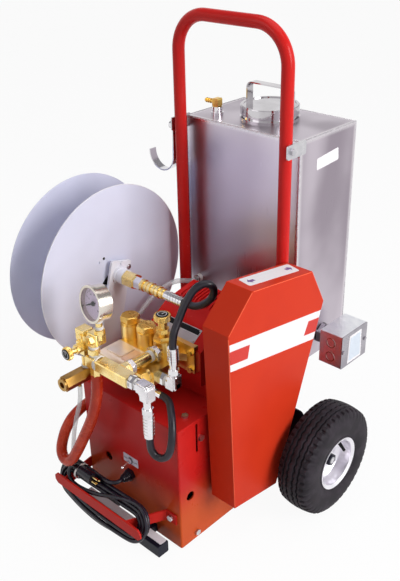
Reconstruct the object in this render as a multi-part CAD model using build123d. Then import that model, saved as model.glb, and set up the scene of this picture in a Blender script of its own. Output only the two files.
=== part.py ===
from build123d import *
import math
import os

# Pipe thawing machine on a two-wheel hand truck, in millimetres.
# Working frame: x = 0 midway between the uprights, +X to the belt guard side,
# y = 0 at the uprights, +Y to the rear, z = 0 on the floor, +Z up.

# Fits shared by every piece
gap = 0.3                    # between faces that must not touch
running_fit = 0.05           # radial, shaft in its bore

# Tubular frame
tube_d = 26.7
tube_wall = 2.6
upright_gap = 291.0          # between the uprights' centre lines
handle_z = 1059.0            # centre line of the top bar
handle_bend = 77.0
upright_foot_z = 96.0

# Wheels and axle
wheel_r = 130.0
tyre_w = 85.0
tyre_wall = 8.0
rim_r = 63.0
rim_w = 80.0
rim_t = 2.5
rim_dish = 14.0
rim_slots = 5
rim_slot_len = 18.0
rim_slot_w = 9.0
track = 561.0                # between the wheels' middles
axle_d = 16.0
hub_len = 30.0
hub_r = 18.0
bearing_r = 14.0
bearing_w = 12.0
axle_nut_w = 8.0
axle_nut_af = 24.0
collar_w = 9.0
collar_r = 15.0

# Back plate, base box and foot
plate_w = 460.0
plate_t = 4.0
plate_z = 10.0
plate_h = 224.0
base_w = 298.0
base_d = 315.0
base_h = 313.0
base_z = 4.0
sheet = 3.0
floor_z = 20.0
floor_t = 6.0
foot_w = 256.0
foot_d = 30.0
foot_h = 30.0
foot_reach = 20.5            # foot bar to base front
panel_hole_d = 22.0
panel_hole_x = -78.0
panel_hole_z = 137.0
slot_w = 6.0
slot_len = 72.0
slot_z = 273.0
slot_back = 55.5             # slot behind the base front

# Tank
tank_d = 196.0
tank_h = 535.0
tank_z = 298.0
tank_y = 32.0
tank_wall = 1.5
shelf_w = 150.0
shelf_t = 4.0
shelf_drop = 52.0
bracket_t = 3.0
bracket_h = 30.0
bracket_drop = 12.0          # bracket middle below the tank top
bracket_lip = 1.6            # plate past the upright's front
bracket_grip = 14.0          # plate along the tank side
neck_r = 62.0
neck_h = 24.0
neck_wall = 4.0
neck_x = -5.0
cap_r = 65.0
cap_h = 20.0
cap_wall = 2.0
gasket_t = 2.0
strap_w = 20.0
strap_t = 3.0
strap_half = 58.0
strap_h = 42.0
vent_x = -104.0
vent_y = 74.0
bushing_h = 20.0
heater_y = 140.0
heater_z = 347.0
heater_bore = 34.0
heater_af = 44.0
heater_reach = 230.0
terminal_w = 60.0
terminal_d = 100.0
terminal_h = 84.0
terminal_out = 32.0          # terminal box to tank side
terminal_sheet = 2.0
knockout_r = 12.0
knockout_pitch = 36.0
outlet_x = -96.0
outlet_y = 76.0
outlet_drop = 40.0           # hose axis below the tank
outlet_d = 24.0

# Hose hook on the left upright
hook_strap = 19.0
hook_t = 3.0
hook_r = 37.0
hook_z = 745.0
hook_top_z = 832.0
hook_bolt_z = 815.0
hook_bolt_r = 8.0
hook_bolt_len = 12.0

# Reel
reel_r = 203.0
reel_t = 1.6
reel_gap = 110.0
reel_x = -182.0              # outer face of the right flange
reel_y = -188.0
reel_z = 515.0
drum_r = 70.0
drum_wall = 2.5
shaft_r = 11.0
arm_w = 58.0
arm_t = 6.0
arm_gap = 10.0               # reel flange to arm
arm_lean = 15.0              # degrees, foot forward
arm_foot = 255.0             # below the reel axis
collar_len = 23.0
swivel_hex = 32.0
swivel_len = 124.0
ferrule_r = 10.5
ferrule_len = 52.0

# Drive
motor_y = -163.7
motor_z = 155.0
motor_r = 76.0
motor_len = 190.0
motor_x = -10.0              # middle of the housing
motor_shaft_r = 9.5
rotor_end = 40.0             # core end inside the housing's end
rotor_gap = 30.0             # core below the housing's skin
belt_centres = 260.0
belt_tilt = 8.6              # degrees, pump behind the motor
motor_pulley_r = 48.0
pump_pulley_r = 110.0
pulley_w = 26.0
shaft_past = 4.0             # shafts past their pulleys
groove_w = 14.0
groove_deep = 11.0
belt_w = 12.0
belt_t = 8.0
belt_in = 1.0                # belt back below the pulley rim

# Belt guard, measured along and across the belt line
guard_gap = 10.2             # guard to base side, clear of the upright
guard_t = 66.0
guard_sheet = 2.0
guard_fold = 2.5             # outer radius of its folded edges
guard_foot = 62.0            # below the motor axis
guard_foot_half = 72.0
guard_shoulder = 106.0       # above the pump axis
guard_shoulder_half = 156.0
guard_peak = 185.0
guard_peak_half = 97.0
standoff_r = 5.0
standoff_low = -40.0         # posts along the belt line
standoff_low_half = 58.0
standoff_mid = 120.0

# Pump
rail_h = 28.0
rail_w = 30.0
case_x0 = -65.0
case_x1 = 100.0
case_front = 85.0            # ahead of the crank axis
case_rear = 90.0
case_brow = 14.0             # front wall above the crank axis
case_slope = 44.0            # first slope, along and above the axis
case_crest = 92.0            # second slope's end behind the front
case_crest_up = 76.0
case_top_up = 84.0
case_back_up = 58.0
case_back = 34.0             # rear bevel's length
fin_w = 4.0
fin_pitch = 9.0
fin_deep = 6.0
crank_r = 12.0
flange_t = 12.0
flange_x0 = -104.0
flange_x1 = 94.0
flange_half_h = 32.0
tower_mid = -31.0
tower_pitch = 51.0
tower_r = 22.0
tower_ahead = 16.0           # tower axis to flange face
tower_up = 33.0              # tower top above the plunger axis
cap_af = 38.0
cap_hex_h = 14.0
cap_bevel = 3.0
cap_collar_h = 6.0           # under the first tower's cap
chamber_x0 = -88.0
chamber_x1 = 60.0
chamber_d = 45.0
chamber_nose = 21.0
chamber_up = 0.0             # chamber top above the plunger axis
chamber_down = 38.0
plug_x = 40.0
plug_af = 34.0
plug_len = 26.0
head_bolt_af = 13.0

# Brass manifold in front of the head
bar_x0 = -30.0
bar_x1 = 64.0
bar_d = 30.0
bar_h = 24.0
bar_y = -371.0
bar_up = 13.0                # bar axis above the plunger axis
nipple_x = 26.0
nipple_r = 11.0
nipple_af = 29.0
column_a_x = -46.0
column_b_x = -76.0
column_r = 9.0
tee_size = 28.0
tee_edge = 3.0
tee_up = 52.0                # tee axis above the bar axis
tee_back = 10.0              # tees behind the bar axis
tee_b_x = -86.0
stem_x = -35.0               # gauge stem
relief_af = 30.0
relief_len = 78.0
relief_drop = 40.0
inlet_drop = 34.0            # inlet hose end below the bar axis
knob_drop = 26.0             # regulator axis above the bar axis
knob_r = 14.0
knob_t = 11.0
knob_reach = 38.0
pulse_r = 17.5
pulse_t = 14.0
pulse_stem_h = 52.0
gauge_r = 37.0
gauge_t = 28.0
gauge_up = 136.0             # gauge centre above the bar axis
gauge_turn = 8.0             # degrees, face turned to -X
gauge_tilt = 7.0             # degrees, face turned up
gauge_wall = 3.0
gauge_stem_r = 7.0
bezel_lip = 2.0
dial_deep = 18.0             # dial in front of the case's back
needle_pin_r = 2.4
needle_len = 26.0
needle_rest = -117.0         # degrees from straight up

# Hoses, cords and their fittings
hose_d = 16.0
crimp_r = 11.0
crimp_len = 38.0
inlet_d = 25.0
clear_d = 12.0
drain_d = 10.0
cord_d = 9.5
relief_gland_len = 26.0
hank_w = 19.5                # two strands side by side
hank_tilt = 68.0             # degrees from level
hank_back = 23.0             # hank's middle behind the bracket bar
hank_up = 9.0                # and above its lower edge
hank_lift = 4.0              # end turns above that middle
hank_ahead = 6.0             # right end's middle past its arm at the bar
hank_right_r = 47.0          # outer radius of the fanned right end
hank_left_r = 40.0
hank_eye_right = 26.5        # radius of the open middle at each end
hank_eye_left = 20.0
hank_sag = 59.0              # lowest strand below the middle
hank_sag_r = 8.0

# Switch and cord exit on the front panel
switch_x = -1.0
switch_z = 167.0
switch_w = 46.0
switch_h = 21.0
bat_r = 2.6
bat_len = 16.0
cord_x = -5.0
cord_z = 126.0

# Cord bracket
bracket_bar_x0 = -170.0
bracket_bar_x1 = 117.0
bracket_bar_z = 67.0
bracket_bar_h = 28.0
bracket_bar_t = 4.0
bracket_reach = 89.5
bracket_arm_x = 110.0        # right arm at the base
bracket_lean = 44.0          # right arm nearer the middle at the bar
bracket_left_lean = 13.0
bracket_arm_h = 26.0
bracket_lap = 42.0           # left arm along the base side
plug_tip = -40.0
plug_r = 12.0
plug_up = 44.5               # plug above the hank's middle, in its plane
plug_front = 16.5            # and in front of that plane
bolt_af = 13.0
bolt_h = 5.5

# Places worked out from the sizes above
tube_r = tube_d / 2
upright_x = upright_gap / 2
plate_y1 = -tube_r - gap / 2
plate_y0 = plate_y1 - plate_t
base_y1 = plate_y0
base_y0 = base_y1 - base_d
base_x = base_w / 2
base_top = base_z + base_h
axle_z = wheel_r
rim_seat = rim_r - 6
tank_x = upright_x + tube_r
tank_top = tank_z + tank_h
bracket_z = tank_top - bracket_drop
tank_y1 = tank_y + tank_d
neck_y = tank_y + tank_d / 2 + 6
cap_z = tank_top + neck_h
belt_sin = math.sin(math.radians(belt_tilt))
belt_cos = math.cos(math.radians(belt_tilt))
pump_y = motor_y + belt_centres * belt_sin
pump_z = motor_z + belt_centres * belt_cos
guard_x0 = base_x + guard_gap
guard_x1 = guard_x0 + guard_t
pulley_x = guard_x0 + guard_t / 2
flange_y1 = pump_y - case_front
flange_y0 = flange_y1 - flange_t
tower_y = flange_y0 - tower_ahead
tower_top = pump_z + tower_up
nipple_end = tower_y - tower_r + 4
chamber_y1 = tower_y - tower_r - 2
chamber_y0 = chamber_y1 - chamber_d
bar_z = pump_z + bar_up
arm_x1 = reel_x + arm_gap + arm_t
swivel_x0 = arm_x1 + collar_len + 1
swivel_x1 = swivel_x0 + swivel_len
gauge_z = bar_z + gauge_up
gauge_stem_top = gauge_z - gauge_r + 2
tee_z = bar_z + tee_up
tee_y = bar_y + tee_back
inlet_top = bar_z - inlet_drop
relief_z = bar_z - relief_drop
relief_y0 = bar_y + column_r + 2 - relief_len
cord_bar_y = base_y0 - bracket_reach
arm_bar_x = bracket_arm_x - bracket_lean
left_bar_x = -base_x - bracket_bar_t / 2 + bracket_left_lean
front_y = relief_y0
rear_y = tank_y1
origin_y = (front_y + rear_y) / 2


def block(x0, x1, y0, y1, z0, z1):
    """Box between two corners."""
    return Pos((x0 + x1) / 2, (y0 + y1) / 2, (z0 + z1) / 2) * Box(x1 - x0, y1 - y0, z1 - z0)


def cube(x, y, z, size):
    """Cube about a point."""
    return Pos(x, y, z) * Box(size, size, size)


def tee(x, y, z):
    """Forged pipe tee: a cube with its edges rounded."""
    body = cube(x, y, z, tee_size)
    return fillet(body.edges(), tee_edge)


def rod_x(x0, x1, y, z, r):
    """Round bar along X."""
    return Pos((x0 + x1) / 2, y, z) * Rot(0, 90, 0) * Cylinder(r, x1 - x0)


def rod_y(y0, y1, x, z, r):
    """Round bar along Y."""
    return Pos(x, (y0 + y1) / 2, z) * Rot(90, 0, 0) * Cylinder(r, y1 - y0)


def rod_z(z0, z1, x, y, r):
    """Round bar along Z."""
    return Pos(x, y, (z0 + z1) / 2) * Cylinder(r, z1 - z0)


def hexagon(af, length):
    """Hexagon bar along +Z from the origin, by its width across flats."""
    return extrude(RegularPolygon(af / 2, 6, major_radius=False), length)


def hex_x(x0, x1, y, z, af):
    """Hexagon bar along X."""
    return Pos(x0, y, z) * Rot(0, 90, 0) * hexagon(af, x1 - x0)


def hex_y(y0, y1, x, z, af):
    """Hexagon bar along Y."""
    return Pos(x, y1, z) * Rot(90, 0, 0) * hexagon(af, y1 - y0)


def hex_z(z0, z1, x, y, af):
    """Hexagon bar along Z."""
    return Pos(x, y, z0) * hexagon(af, z1 - z0)


def cord_path(points, label):
    """Straight runs joined by the largest arcs that their runs allow."""
    corners = [Vector(*p) for p in points]
    radii = []
    for before, here, after in zip(corners, corners[1:], corners[2:]):
        run_in = here - before
        run_out = after - here
        half_turn = math.radians(run_in.get_angle(run_out)) / 2
        radii.append(0.45 * min(run_in.length, run_out.length) / math.tan(half_turn))
    print(label, "radii", [round(r) for r in radii])
    return FilletPolyline(*points, radius=radii)


def cord_tube(points, d, label, bore=0.0):
    """Round tube along a cord route; its volume is printed beside section times length."""
    path = cord_path(points, label)
    start = Plane(origin=path @ 0, z_dir=path % 0)
    section = start * Circle(d / 2)
    if bore:
        section -= start * Circle(bore / 2)
    solid = sweep(section, path=path)
    ratio = solid.volume / section.area / path.length
    print(label, "length", round(path.length), "volume ratio", round(ratio, 4))
    return solid


def belt_point(along, across):
    """(y, z) of a point on the belt line: along from the motor axis, across to the rear."""
    return (motor_y + along * belt_sin + across * belt_cos, motor_z + along * belt_cos - across * belt_sin)


def ring_hull(circles):
    """Face round a row of circles, each given as (x, y, radius)."""
    rings = [Pos(x, y) * Circle(r) for x, y, r in circles]
    return make_hull([edge for ring in rings for edge in ring.edges()])


def yz_face(points, x):
    """Face from (y, z) points, standing at x."""
    return make_face(Polyline(*[(x, y, z) for y, z in points], close=True))


# Frame

def handle_frame():
    """One bent tube, with a cross hole for the axle through both feet."""
    corners = [
        (-upright_x, 0, upright_foot_z),
        (-upright_x, 0, handle_z),
        (upright_x, 0, handle_z),
        (upright_x, 0, upright_foot_z),
    ]
    path = FilletPolyline(*corners, radius=handle_bend)
    start = Plane(origin=path @ 0, z_dir=path % 0)
    tube = sweep(start * Circle(tube_r) - start * Circle(tube_r - tube_wall), path=path)
    return tube - rod_x(-track / 2, track / 2, 0, axle_z, axle_d / 2 + running_fit)


def back_plate():
    """Black plate between the base and the uprights."""
    plate = block(-plate_w / 2, plate_w / 2, plate_y0, plate_y1, plate_z, plate_z + plate_h)
    return fillet(plate.edges().filter_by(Axis.Y), 12)


def axle():
    """Through axle with a collar inside each wheel."""
    end = track / 2 + hub_len / 2 + axle_nut_w + 1
    bar = rod_x(-end, end, 0, axle_z, axle_d / 2)
    for side in (-1, 1):
        hub_face = track / 2 - hub_len / 2 - gap
        collar = rod_x(hub_face - collar_w, hub_face, 0, axle_z, collar_r)
        bar += collar if side > 0 else collar.mirror(Plane.YZ)
    return bar


def axle_nuts():
    """Nut on each axle end, clear of the turning hub."""
    inner = track / 2 + hub_len / 2 + gap
    nut = hex_x(inner, inner + axle_nut_w, 0, axle_z, axle_nut_af)
    nut -= rod_x(inner, inner + axle_nut_w, 0, axle_z, axle_d / 2)
    return [nut, nut.mirror(Plane.YZ)]


def base_box():
    """Bent sheet box, open below, with its panel holes."""
    box = block(-base_x, base_x, base_y0, base_y1, base_z, base_top)
    box = fillet(box.edges().filter_by(Axis.Z), 4)
    box = fillet(box.edges().group_by(Axis.Z)[-1], sheet - 0.5)
    box -= block(-base_x + sheet, base_x - sheet, base_y0 + sheet, base_y1 - sheet,
                 base_z, base_top - sheet)
    box -= rod_y(base_y0 - 1, base_y0 + sheet + 1, panel_hole_x, panel_hole_z, panel_hole_d / 2)
    box -= rod_y(base_y0 - 1, base_y0 + sheet + 1, cord_x, cord_z, cord_d / 2 + 3)
    box -= rod_y(base_y0 - 1, base_y0 + sheet + 1, switch_x, switch_z, 6.5)
    box -= rod_x(base_x - sheet - 1, base_x + 1, base_y0 + 31.5, panel_hole_z - 4, panel_hole_d / 2)
    slot_y = base_y0 + slot_back
    box -= block(base_x - sheet - 1, base_x + 1, slot_y - slot_w / 2, slot_y + slot_w / 2,
                 slot_z - slot_len / 2, slot_z + slot_len / 2)
    box -= rod_x(base_x - sheet - 1, base_x + 1, motor_y, motor_z, motor_shaft_r + 10)
    return box


def base_floor():
    """Floor that carries the motor, between the base walls."""
    side = base_x - sheet
    plate = block(-side, side, base_y0 + sheet, base_y1 - sheet, floor_z, floor_z + floor_t)
    return plate


def foot_bar():
    """Black foot bar with two spacers to the base front."""
    y1 = base_y0 - foot_reach
    bar = block(-foot_w / 2, foot_w / 2, y1 - foot_d, y1, 0, foot_h)
    bar = fillet(bar.edges().filter_by(Axis.X), 3)
    for x in (-61, 61):
        bar += block(x - 12, x + 12, y1 - foot_d / 2, base_y0, base_z + 4, foot_h - 4)
    return bar


def hex_bolt_y(x, z, y):
    """Bolt head on a front face at y."""
    return hex_y(y - bolt_h, y, x, z, bolt_af)


def hex_bolt_x(y, z, x, side):
    """Bolt head on a side face at x."""
    return hex_x(x, x + bolt_h, y, z, bolt_af) if side > 0 else hex_x(x - bolt_h, x, y, z, bolt_af)


def frame_bolts():
    """Bolt heads that show on the frame and base."""
    arm_z = bracket_bar_z + bracket_arm_h / 2
    slot_y = base_y0 + slot_back
    bolts = [hex_bolt_x(slot_y + 11, slot_z - 4, base_x, 1), hex_bolt_x(base_y0 + 48, floor_z, base_x, 1)]
    bolts.append(hex_bolt_x(0, bracket_z, tank_x + bracket_t, 1))
    bolts.append(hex_bolt_y(bracket_arm_x + 13, arm_z, base_y0 - bracket_bar_t))
    bolts.append(hex_bolt_x(base_y0 + bracket_lap / 2, arm_z, -base_x - bracket_bar_t, -1))
    rail_bolt_x = case_x1 + 22
    bolts.append(hex_z(base_top, base_top + bolt_h, rail_bolt_x, base_y0 + 50, bolt_af))
    bolts.append(hex_z(base_top, base_top + bolt_h, -rail_bolt_x, base_y0 + 50, bolt_af))
    return bolts


# Tank

def tank_shelf():
    """Bent plate on the rear of the uprights, under the tank."""
    y0 = tube_r + gap / 2
    top = block(-shelf_w / 2, shelf_w / 2, y0, tank_y1 - 12, tank_z - shelf_t, tank_z)
    drop = block(-tank_x, tank_x, y0, y0 + shelf_t, tank_z - shelf_drop, tank_z)
    return top + drop


def tank_shell():
    """Welded stainless box with filler, vent, heater and outlet holes."""
    shell = block(-tank_x, tank_x, tank_y, tank_y1, tank_z, tank_top)
    shell = fillet(shell.edges(), 1.2)
    w = tank_wall
    shell -= block(-tank_x + w, tank_x - w, tank_y + w, tank_y1 - w, tank_z + w, tank_top - w)
    shell -= rod_z(tank_top - w - 1, tank_top + 1, neck_x, neck_y, neck_r - neck_wall)
    shell -= rod_z(tank_top - w - 1, tank_top + 1, vent_x, vent_y, 5)
    shell -= rod_x(tank_x - w - 1, tank_x + 1, heater_y, heater_z, heater_bore / 2)
    shell -= rod_z(tank_z - 1, tank_z + w + 1, outlet_x, outlet_y, outlet_d / 2 - 3)
    return shell


def tank_brackets():
    """Plate on each side that ties the tank to the upright."""
    plate = block(tank_x, tank_x + bracket_t, -tube_r - bracket_lip, tank_y + bracket_grip,
                  bracket_z - bracket_h / 2, bracket_z + bracket_h / 2)
    plate = fillet(plate.edges().filter_by(Axis.X), 5)
    return [plate, plate.mirror(Plane.YZ)]


def filler_neck():
    """Chrome neck with a base flange and a bead, open through."""
    neck = rod_z(tank_top, tank_top + neck_h, neck_x, neck_y, neck_r - 3)
    neck += rod_z(tank_top, tank_top + 4, neck_x, neck_y, neck_r + 4)
    neck += rod_z(tank_top + neck_h - 9, tank_top + neck_h - 4, neck_x, neck_y, neck_r)
    return neck - rod_z(tank_top, tank_top + neck_h, neck_x, neck_y, neck_r - neck_wall)


def filler_cap():
    """Chrome lid with a short skirt and a dished top, and its strap handle."""
    top = cap_z + gasket_t + cap_wall
    skirt = top - cap_h + 2
    lid = rod_z(skirt, top, neck_x, neck_y, cap_r)
    lid -= rod_z(skirt, top - cap_wall, neck_x, neck_y, cap_r - cap_wall)
    lid += rod_z(top, top + 2, neck_x, neck_y, cap_r - 2) - rod_z(top, top + 2, neck_x, neck_y, cap_r - 7)
    x0, x1 = neck_x - strap_half, neck_x + strap_half
    path = FilletPolyline((x0, neck_y, top), (x0, neck_y, top + strap_h), (x1, neck_y, top + strap_h),
                          (x1, neck_y, top), radius=12)
    section = Plane(origin=path @ 0, z_dir=path % 0) * Rectangle(strap_t, strap_w)
    return lid + sweep(section, path=path)


def cap_gasket():
    """Flat ring between the neck and the cap."""
    ring = rod_z(cap_z + gap, cap_z + gasket_t, neck_x, neck_y, neck_r - 3)
    return ring - rod_z(cap_z, cap_z + gasket_t, neck_x, neck_y, neck_r - neck_wall - 6)


def vent_elbow():
    """Brass hose barb elbow on the tank top, pointing left."""
    z = tank_top + bushing_h
    body = block(vent_x - 8, vent_x + 8, vent_y - 8, vent_y + 8, z, z + 18)
    body = fillet(body.edges().filter_by(Axis.Y), 3)
    barb = rod_x(vent_x - 34, vent_x - 8, vent_y, z + 9, 4.2)
    for step in range(3):
        x = vent_x - 32 + 6 * step
        barb += Pos(x, vent_y, z + 9) * Rot(0, 90, 0) * Cone(4.2, 5.6, 4)
    body += barb
    return body - rod_x(vent_x - 34, vent_x, vent_y, z + 9, 2.6)


def heater_element():
    """Screw plug in the tank side with a bent heating rod inside the tank."""
    plug = rod_x(tank_x - tank_wall - 10, tank_x + 3, heater_y, heater_z, heater_bore / 2 - running_fit)
    plug += hex_x(tank_x, tank_x + 12, heater_y, heater_z, heater_af)
    plug += rod_x(tank_x + 12, tank_x + terminal_out, heater_y, heater_z, 14)
    root = tank_x - tank_wall - 12
    ends = [(root, heater_y, heater_z - 9), (root - heater_reach, heater_y, heater_z - 9),
            (root - heater_reach, heater_y, heater_z + 9), (root, heater_y, heater_z + 9)]
    path = FilletPolyline(*ends, radius=8.5)
    rod = sweep(Plane(origin=path @ 0, z_dir=path % 0) * Circle(4.5), path=path)
    for z in (heater_z - 9, heater_z + 9):
        plug += rod_x(root - 1, root + 4, heater_y, z, 4.5)
    return plug + rod


def terminal_place():
    """Lowest and highest corner of the terminal box."""
    x0 = tank_x + terminal_out
    return (x0, heater_y - terminal_d / 2, heater_z - terminal_h / 2), \
        (x0 + terminal_w, heater_y + terminal_d / 2, heater_z + terminal_h / 2)


def terminal_box():
    """Galvanised box open to the right, with two blank knockouts in front."""
    (x0, y0, z0), (x1, y1, z1) = terminal_place()
    t = terminal_sheet
    box = block(x0, x1 - t, y0, y1, z0, z1)
    box = fillet(box.edges().filter_by(Axis.X), 3)
    box -= block(x0 + t, x1, y0 + t, y1 - t, z0 + t, z1 - t)
    for z in (heater_z - knockout_pitch / 2, heater_z + knockout_pitch / 2):
        x = x0 + terminal_w / 2
        box += rod_y(y0 - 0.8, y0, x, z, knockout_r) - rod_y(y0 - 1, y0, x, z, knockout_r - 1.5)
    return box


def terminal_cover():
    """Flat cover with two screw heads."""
    (x0, y0, z0), (x1, y1, z1) = terminal_place()
    cover = block(x1 - terminal_sheet, x1, y0, y1, z0, z1)
    cover = fillet(cover.edges().filter_by(Axis.X), 3)
    for y in (y0 + 7, y1 - 7):
        cover += rod_x(x1, x1 + 2.5, y, heater_z, 4.5)
    return cover


# Hook and reel

def hose_hook():
    """Flat strap bolted over the left bracket plate and rolled into a J."""
    face = -tank_x - bracket_t
    centre_x = face - hook_t - hook_r
    outer = rod_y(-hook_strap / 2, hook_strap / 2, centre_x, hook_z, hook_r + hook_t)
    inner = rod_y(-hook_strap / 2, hook_strap / 2, centre_x, hook_z, hook_r)
    roll = outer - inner
    roll -= block(centre_x - hook_r * 2, centre_x + hook_r * 2, -hook_strap, hook_strap,
                  hook_z, hook_z + hook_r * 2)
    strap = block(face - hook_t, face, -hook_strap / 2, hook_strap / 2, hook_z, hook_top_z)
    tip = block(centre_x - hook_r - hook_t, centre_x - hook_r, -hook_strap / 2, hook_strap / 2,
                hook_z, hook_z + hook_t)
    bolt = rod_x(face - hook_t - hook_bolt_len, face - hook_t, 0, hook_bolt_z, hook_bolt_r)
    return roll + strap + tip + bolt


def reel_disc(x0, x1, r):
    """Thin disc on the reel axis."""
    return rod_x(x0, x1, reel_y, reel_z, r)


def reel_flanges():
    """Two flat discs; the right one has a small hole and the hose hole."""
    x1 = reel_x
    right = reel_disc(x1 - reel_t, x1, reel_r)
    left_x = x1 - reel_t - reel_gap
    left = reel_disc(left_x - reel_t, left_x, reel_r)
    bore = rod_x(left_x - 10, x1 + 10, reel_y, reel_z, shaft_r + gap)
    right -= rod_x(x1 - 5, x1 + 5, reel_y - 44, reel_z + 40, 3.5)
    right -= rod_x(x1 - 5, x1 + 5, reel_y - 30, reel_z - 22, 11)
    return [right - bore, left - bore]


def reel_drum():
    """Drum between the flanges, welded to the hollow shaft."""
    x1 = reel_x - reel_t
    x0 = x1 - reel_gap
    drum = reel_disc(x0, x1, drum_r) - reel_disc(x0, x1, drum_r - drum_wall)
    for x in (x0, x1 - 3):
        drum += reel_disc(x, x + 3, drum_r)
    end = swivel_x0 + 16
    drum += reel_disc(x0 - reel_t - 12, end, shaft_r)
    return drum - reel_disc(x0 - reel_t - 12, end, shaft_r - 4)


def reel_arm():
    """Leaning flat bar from the base side up to the reel bearing."""
    x0, x1 = arm_x1 - arm_t, arm_x1
    bar = block(x0, x1, -arm_w / 2, arm_w / 2, -arm_foot, arm_w / 2 + 4)
    bar = fillet(bar.edges().filter_by(Axis.X), 6)
    bar -= rod_x(x0, x1, 0, 0, shaft_r + 1)
    bar = Pos(0, reel_y, reel_z) * Rot(-arm_lean, 0, 0) * bar
    lean = math.radians(arm_lean)
    for drop in (arm_foot - 20, arm_foot - 50):
        y = reel_y - drop * math.sin(lean)
        z = reel_z - drop * math.cos(lean)
        bar += rod_x(x1, -base_x, y, z, 9)
        bar += hex_x(x0 - bolt_h, x0, y, z, bolt_af)
    y_bolt, z_bolt = reel_y + 8, reel_z + 27
    return bar + hex_x(x1, x1 + 4, y_bolt, z_bolt, 9)


def reel_bearing():
    """Collar on the arm that the reel shaft turns in."""
    collar = rod_x(arm_x1, arm_x1 + collar_len, reel_y, reel_z, 18)
    collar += rod_x(arm_x1, arm_x1 + 5, reel_y, reel_z, 21)
    return collar - rod_x(arm_x1, arm_x1 + collar_len, reel_y, reel_z, shaft_r + running_fit)


def reel_swivel():
    """Brass swivel: hexagon over the shaft end, then a ribbed coupler."""
    hex_end = swivel_x0 + 31
    nut_end = hex_end + 21
    body = hex_x(swivel_x0, hex_end, reel_y, reel_z, swivel_hex)
    body += rod_x(hex_end, swivel_x1, reel_y, reel_z, 8)
    ribs = 6
    rib_pitch = (swivel_x1 - nut_end) / ribs
    for step in range(ribs):
        x = nut_end + step * rib_pitch
        body += rod_x(x, x + rib_pitch * 0.62, reel_y, reel_z, 12 if step % 2 else 13.5)
        body += rod_x(x, x + rib_pitch, reel_y, reel_z, 10.5)
    return body - rod_x(swivel_x0, swivel_x0 + 17, reel_y, reel_z, shaft_r + running_fit)


# Wheels

def tyre_half(sign, inset):
    """Bead point, wall foot and crown edge of one tyre side, with the edges between them."""
    bead_x = sign * (rim_w / 2 - rim_t - 1.5 - inset * 0.5)
    crown_x = sign * (tyre_w / 2 * 0.74 - inset * 0.4)
    crown_r = wheel_r - 4 - inset
    bead = Vector(bead_x, 0, rim_seat)
    foot = Vector(bead_x, 0, rim_r + 2 + inset * 0.5)
    wide = Vector(sign * (tyre_w / 2 - inset), 0, (rim_seat + wheel_r) / 2 + 4)
    crown = Vector(crown_x, 0, crown_r)
    return bead, crown, [Line(bead, foot), ThreePointArc(foot, wide, crown)]


def tyre_section():
    """Hollow tyre section as a face in the XZ plane, radius along Z."""
    edges = []
    beads = []
    for inset in (0, tyre_wall):
        left_bead, left_crown, left_edges = tyre_half(-1, inset)
        right_bead, right_crown, right_edges = tyre_half(1, inset)
        edges += left_edges + right_edges
        edges.append(ThreePointArc(left_crown, Vector(0, 0, wheel_r - inset), right_crown))
        beads.append((left_bead, right_bead))
    for outer, inner in zip(*beads):
        edges.append(Line(outer, inner))
    return make_face(Curve() + edges)


def tyre():
    """Hollow tyre about the X axis with three tread grooves."""
    body = revolve(tyre_section(), Axis.X)
    for x in (-15, 0, 15):
        groove = Rot(0, 90, 0) * (Cylinder(wheel_r + 2, 3.5) - Cylinder(wheel_r - 3.5, 3.5))
        body -= Pos(x, 0, 0) * groove
    return body


def rim():
    """Dished steel rim with oval slots and a hub sleeve, about the X axis."""
    half = rim_w / 2
    seat = rim_seat
    t = rim_t
    dish_r = seat - rim_dish
    outside = [(-half, rim_r), (-half + t, rim_r), (-half + t + 1, seat),
               (half - t - 1, seat), (half - t, rim_r), (half, rim_r)]
    inside = [(half, rim_r - t), (half - t - 1, seat - t), (8, seat - t), (2, dish_r), (2, hub_r),
              (2 - t, hub_r), (2 - t, dish_r + 1), (4, seat - t), (-half + t, seat - t), (-half, rim_r - t)]
    profile = outside + inside
    body = revolve(make_face(Polyline(*[(x, 0, r) for x, r in profile], close=True)), Axis.X)
    sleeve = Rot(0, 90, 0) * (Cylinder(hub_r, hub_len) - Cylinder(bearing_r, hub_len))
    body += sleeve
    slot_mid = (dish_r + hub_r) / 2
    for step in range(rim_slots):
        slot = Rot(0, 90, 0) * extrude(SlotOverall(rim_slot_len, rim_slot_w), rim_w / 4, both=True)
        body -= Rot(360 / rim_slots * step, 0, 0) * Pos(0, 0, slot_mid) * Rot(90, 0, 0) * slot
    return body


def wheel_bearings():
    """A bearing ring in each end of the hub sleeve, about the X axis."""
    rings = []
    for side in (-1, 1):
        ring = Cylinder(bearing_r, bearing_w) - Cylinder(axle_d / 2 + running_fit, bearing_w)
        rings.append(Pos(side * (hub_len - bearing_w) / 2, 0, 0) * Rot(0, 90, 0) * ring)
    return rings


def on_wheel(shape, side):
    """Piece made about the origin, put on the left (-1) or right (1) wheel."""
    place = Pos(side * track / 2, 0, axle_z) * Rot(0, 0, 0 if side > 0 else 180)
    if isinstance(shape, list):
        return [place * piece for piece in shape]
    return place * shape


# Drive

def motor_housing():
    """Motor shell with end bells and a foot on the base floor."""
    x0, x1 = motor_x - motor_len / 2, motor_x + motor_len / 2
    shell = rod_x(x0, x1, motor_y, motor_z, motor_r)
    shell = chamfer(shell.edges().filter_by(GeomType.CIRCLE), 8)
    foot = block(x0 + 30, x1 - 30, motor_y - 62, motor_y + 62, floor_z + floor_t, motor_z)
    foot -= rod_x(x0, x1, motor_y, motor_z, motor_r - 1)
    foot -= block(x0, x1, motor_y - 48, motor_y + 48, floor_z + floor_t + 5, motor_z - motor_r + 6)
    shell += foot
    shell -= rod_x(x0 + 8, x1 - 8, motor_y, motor_z, motor_r - 5)
    return shell - rod_x(x0 - 1, x1 + 1, motor_y, motor_z, motor_shaft_r + running_fit)


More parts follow.
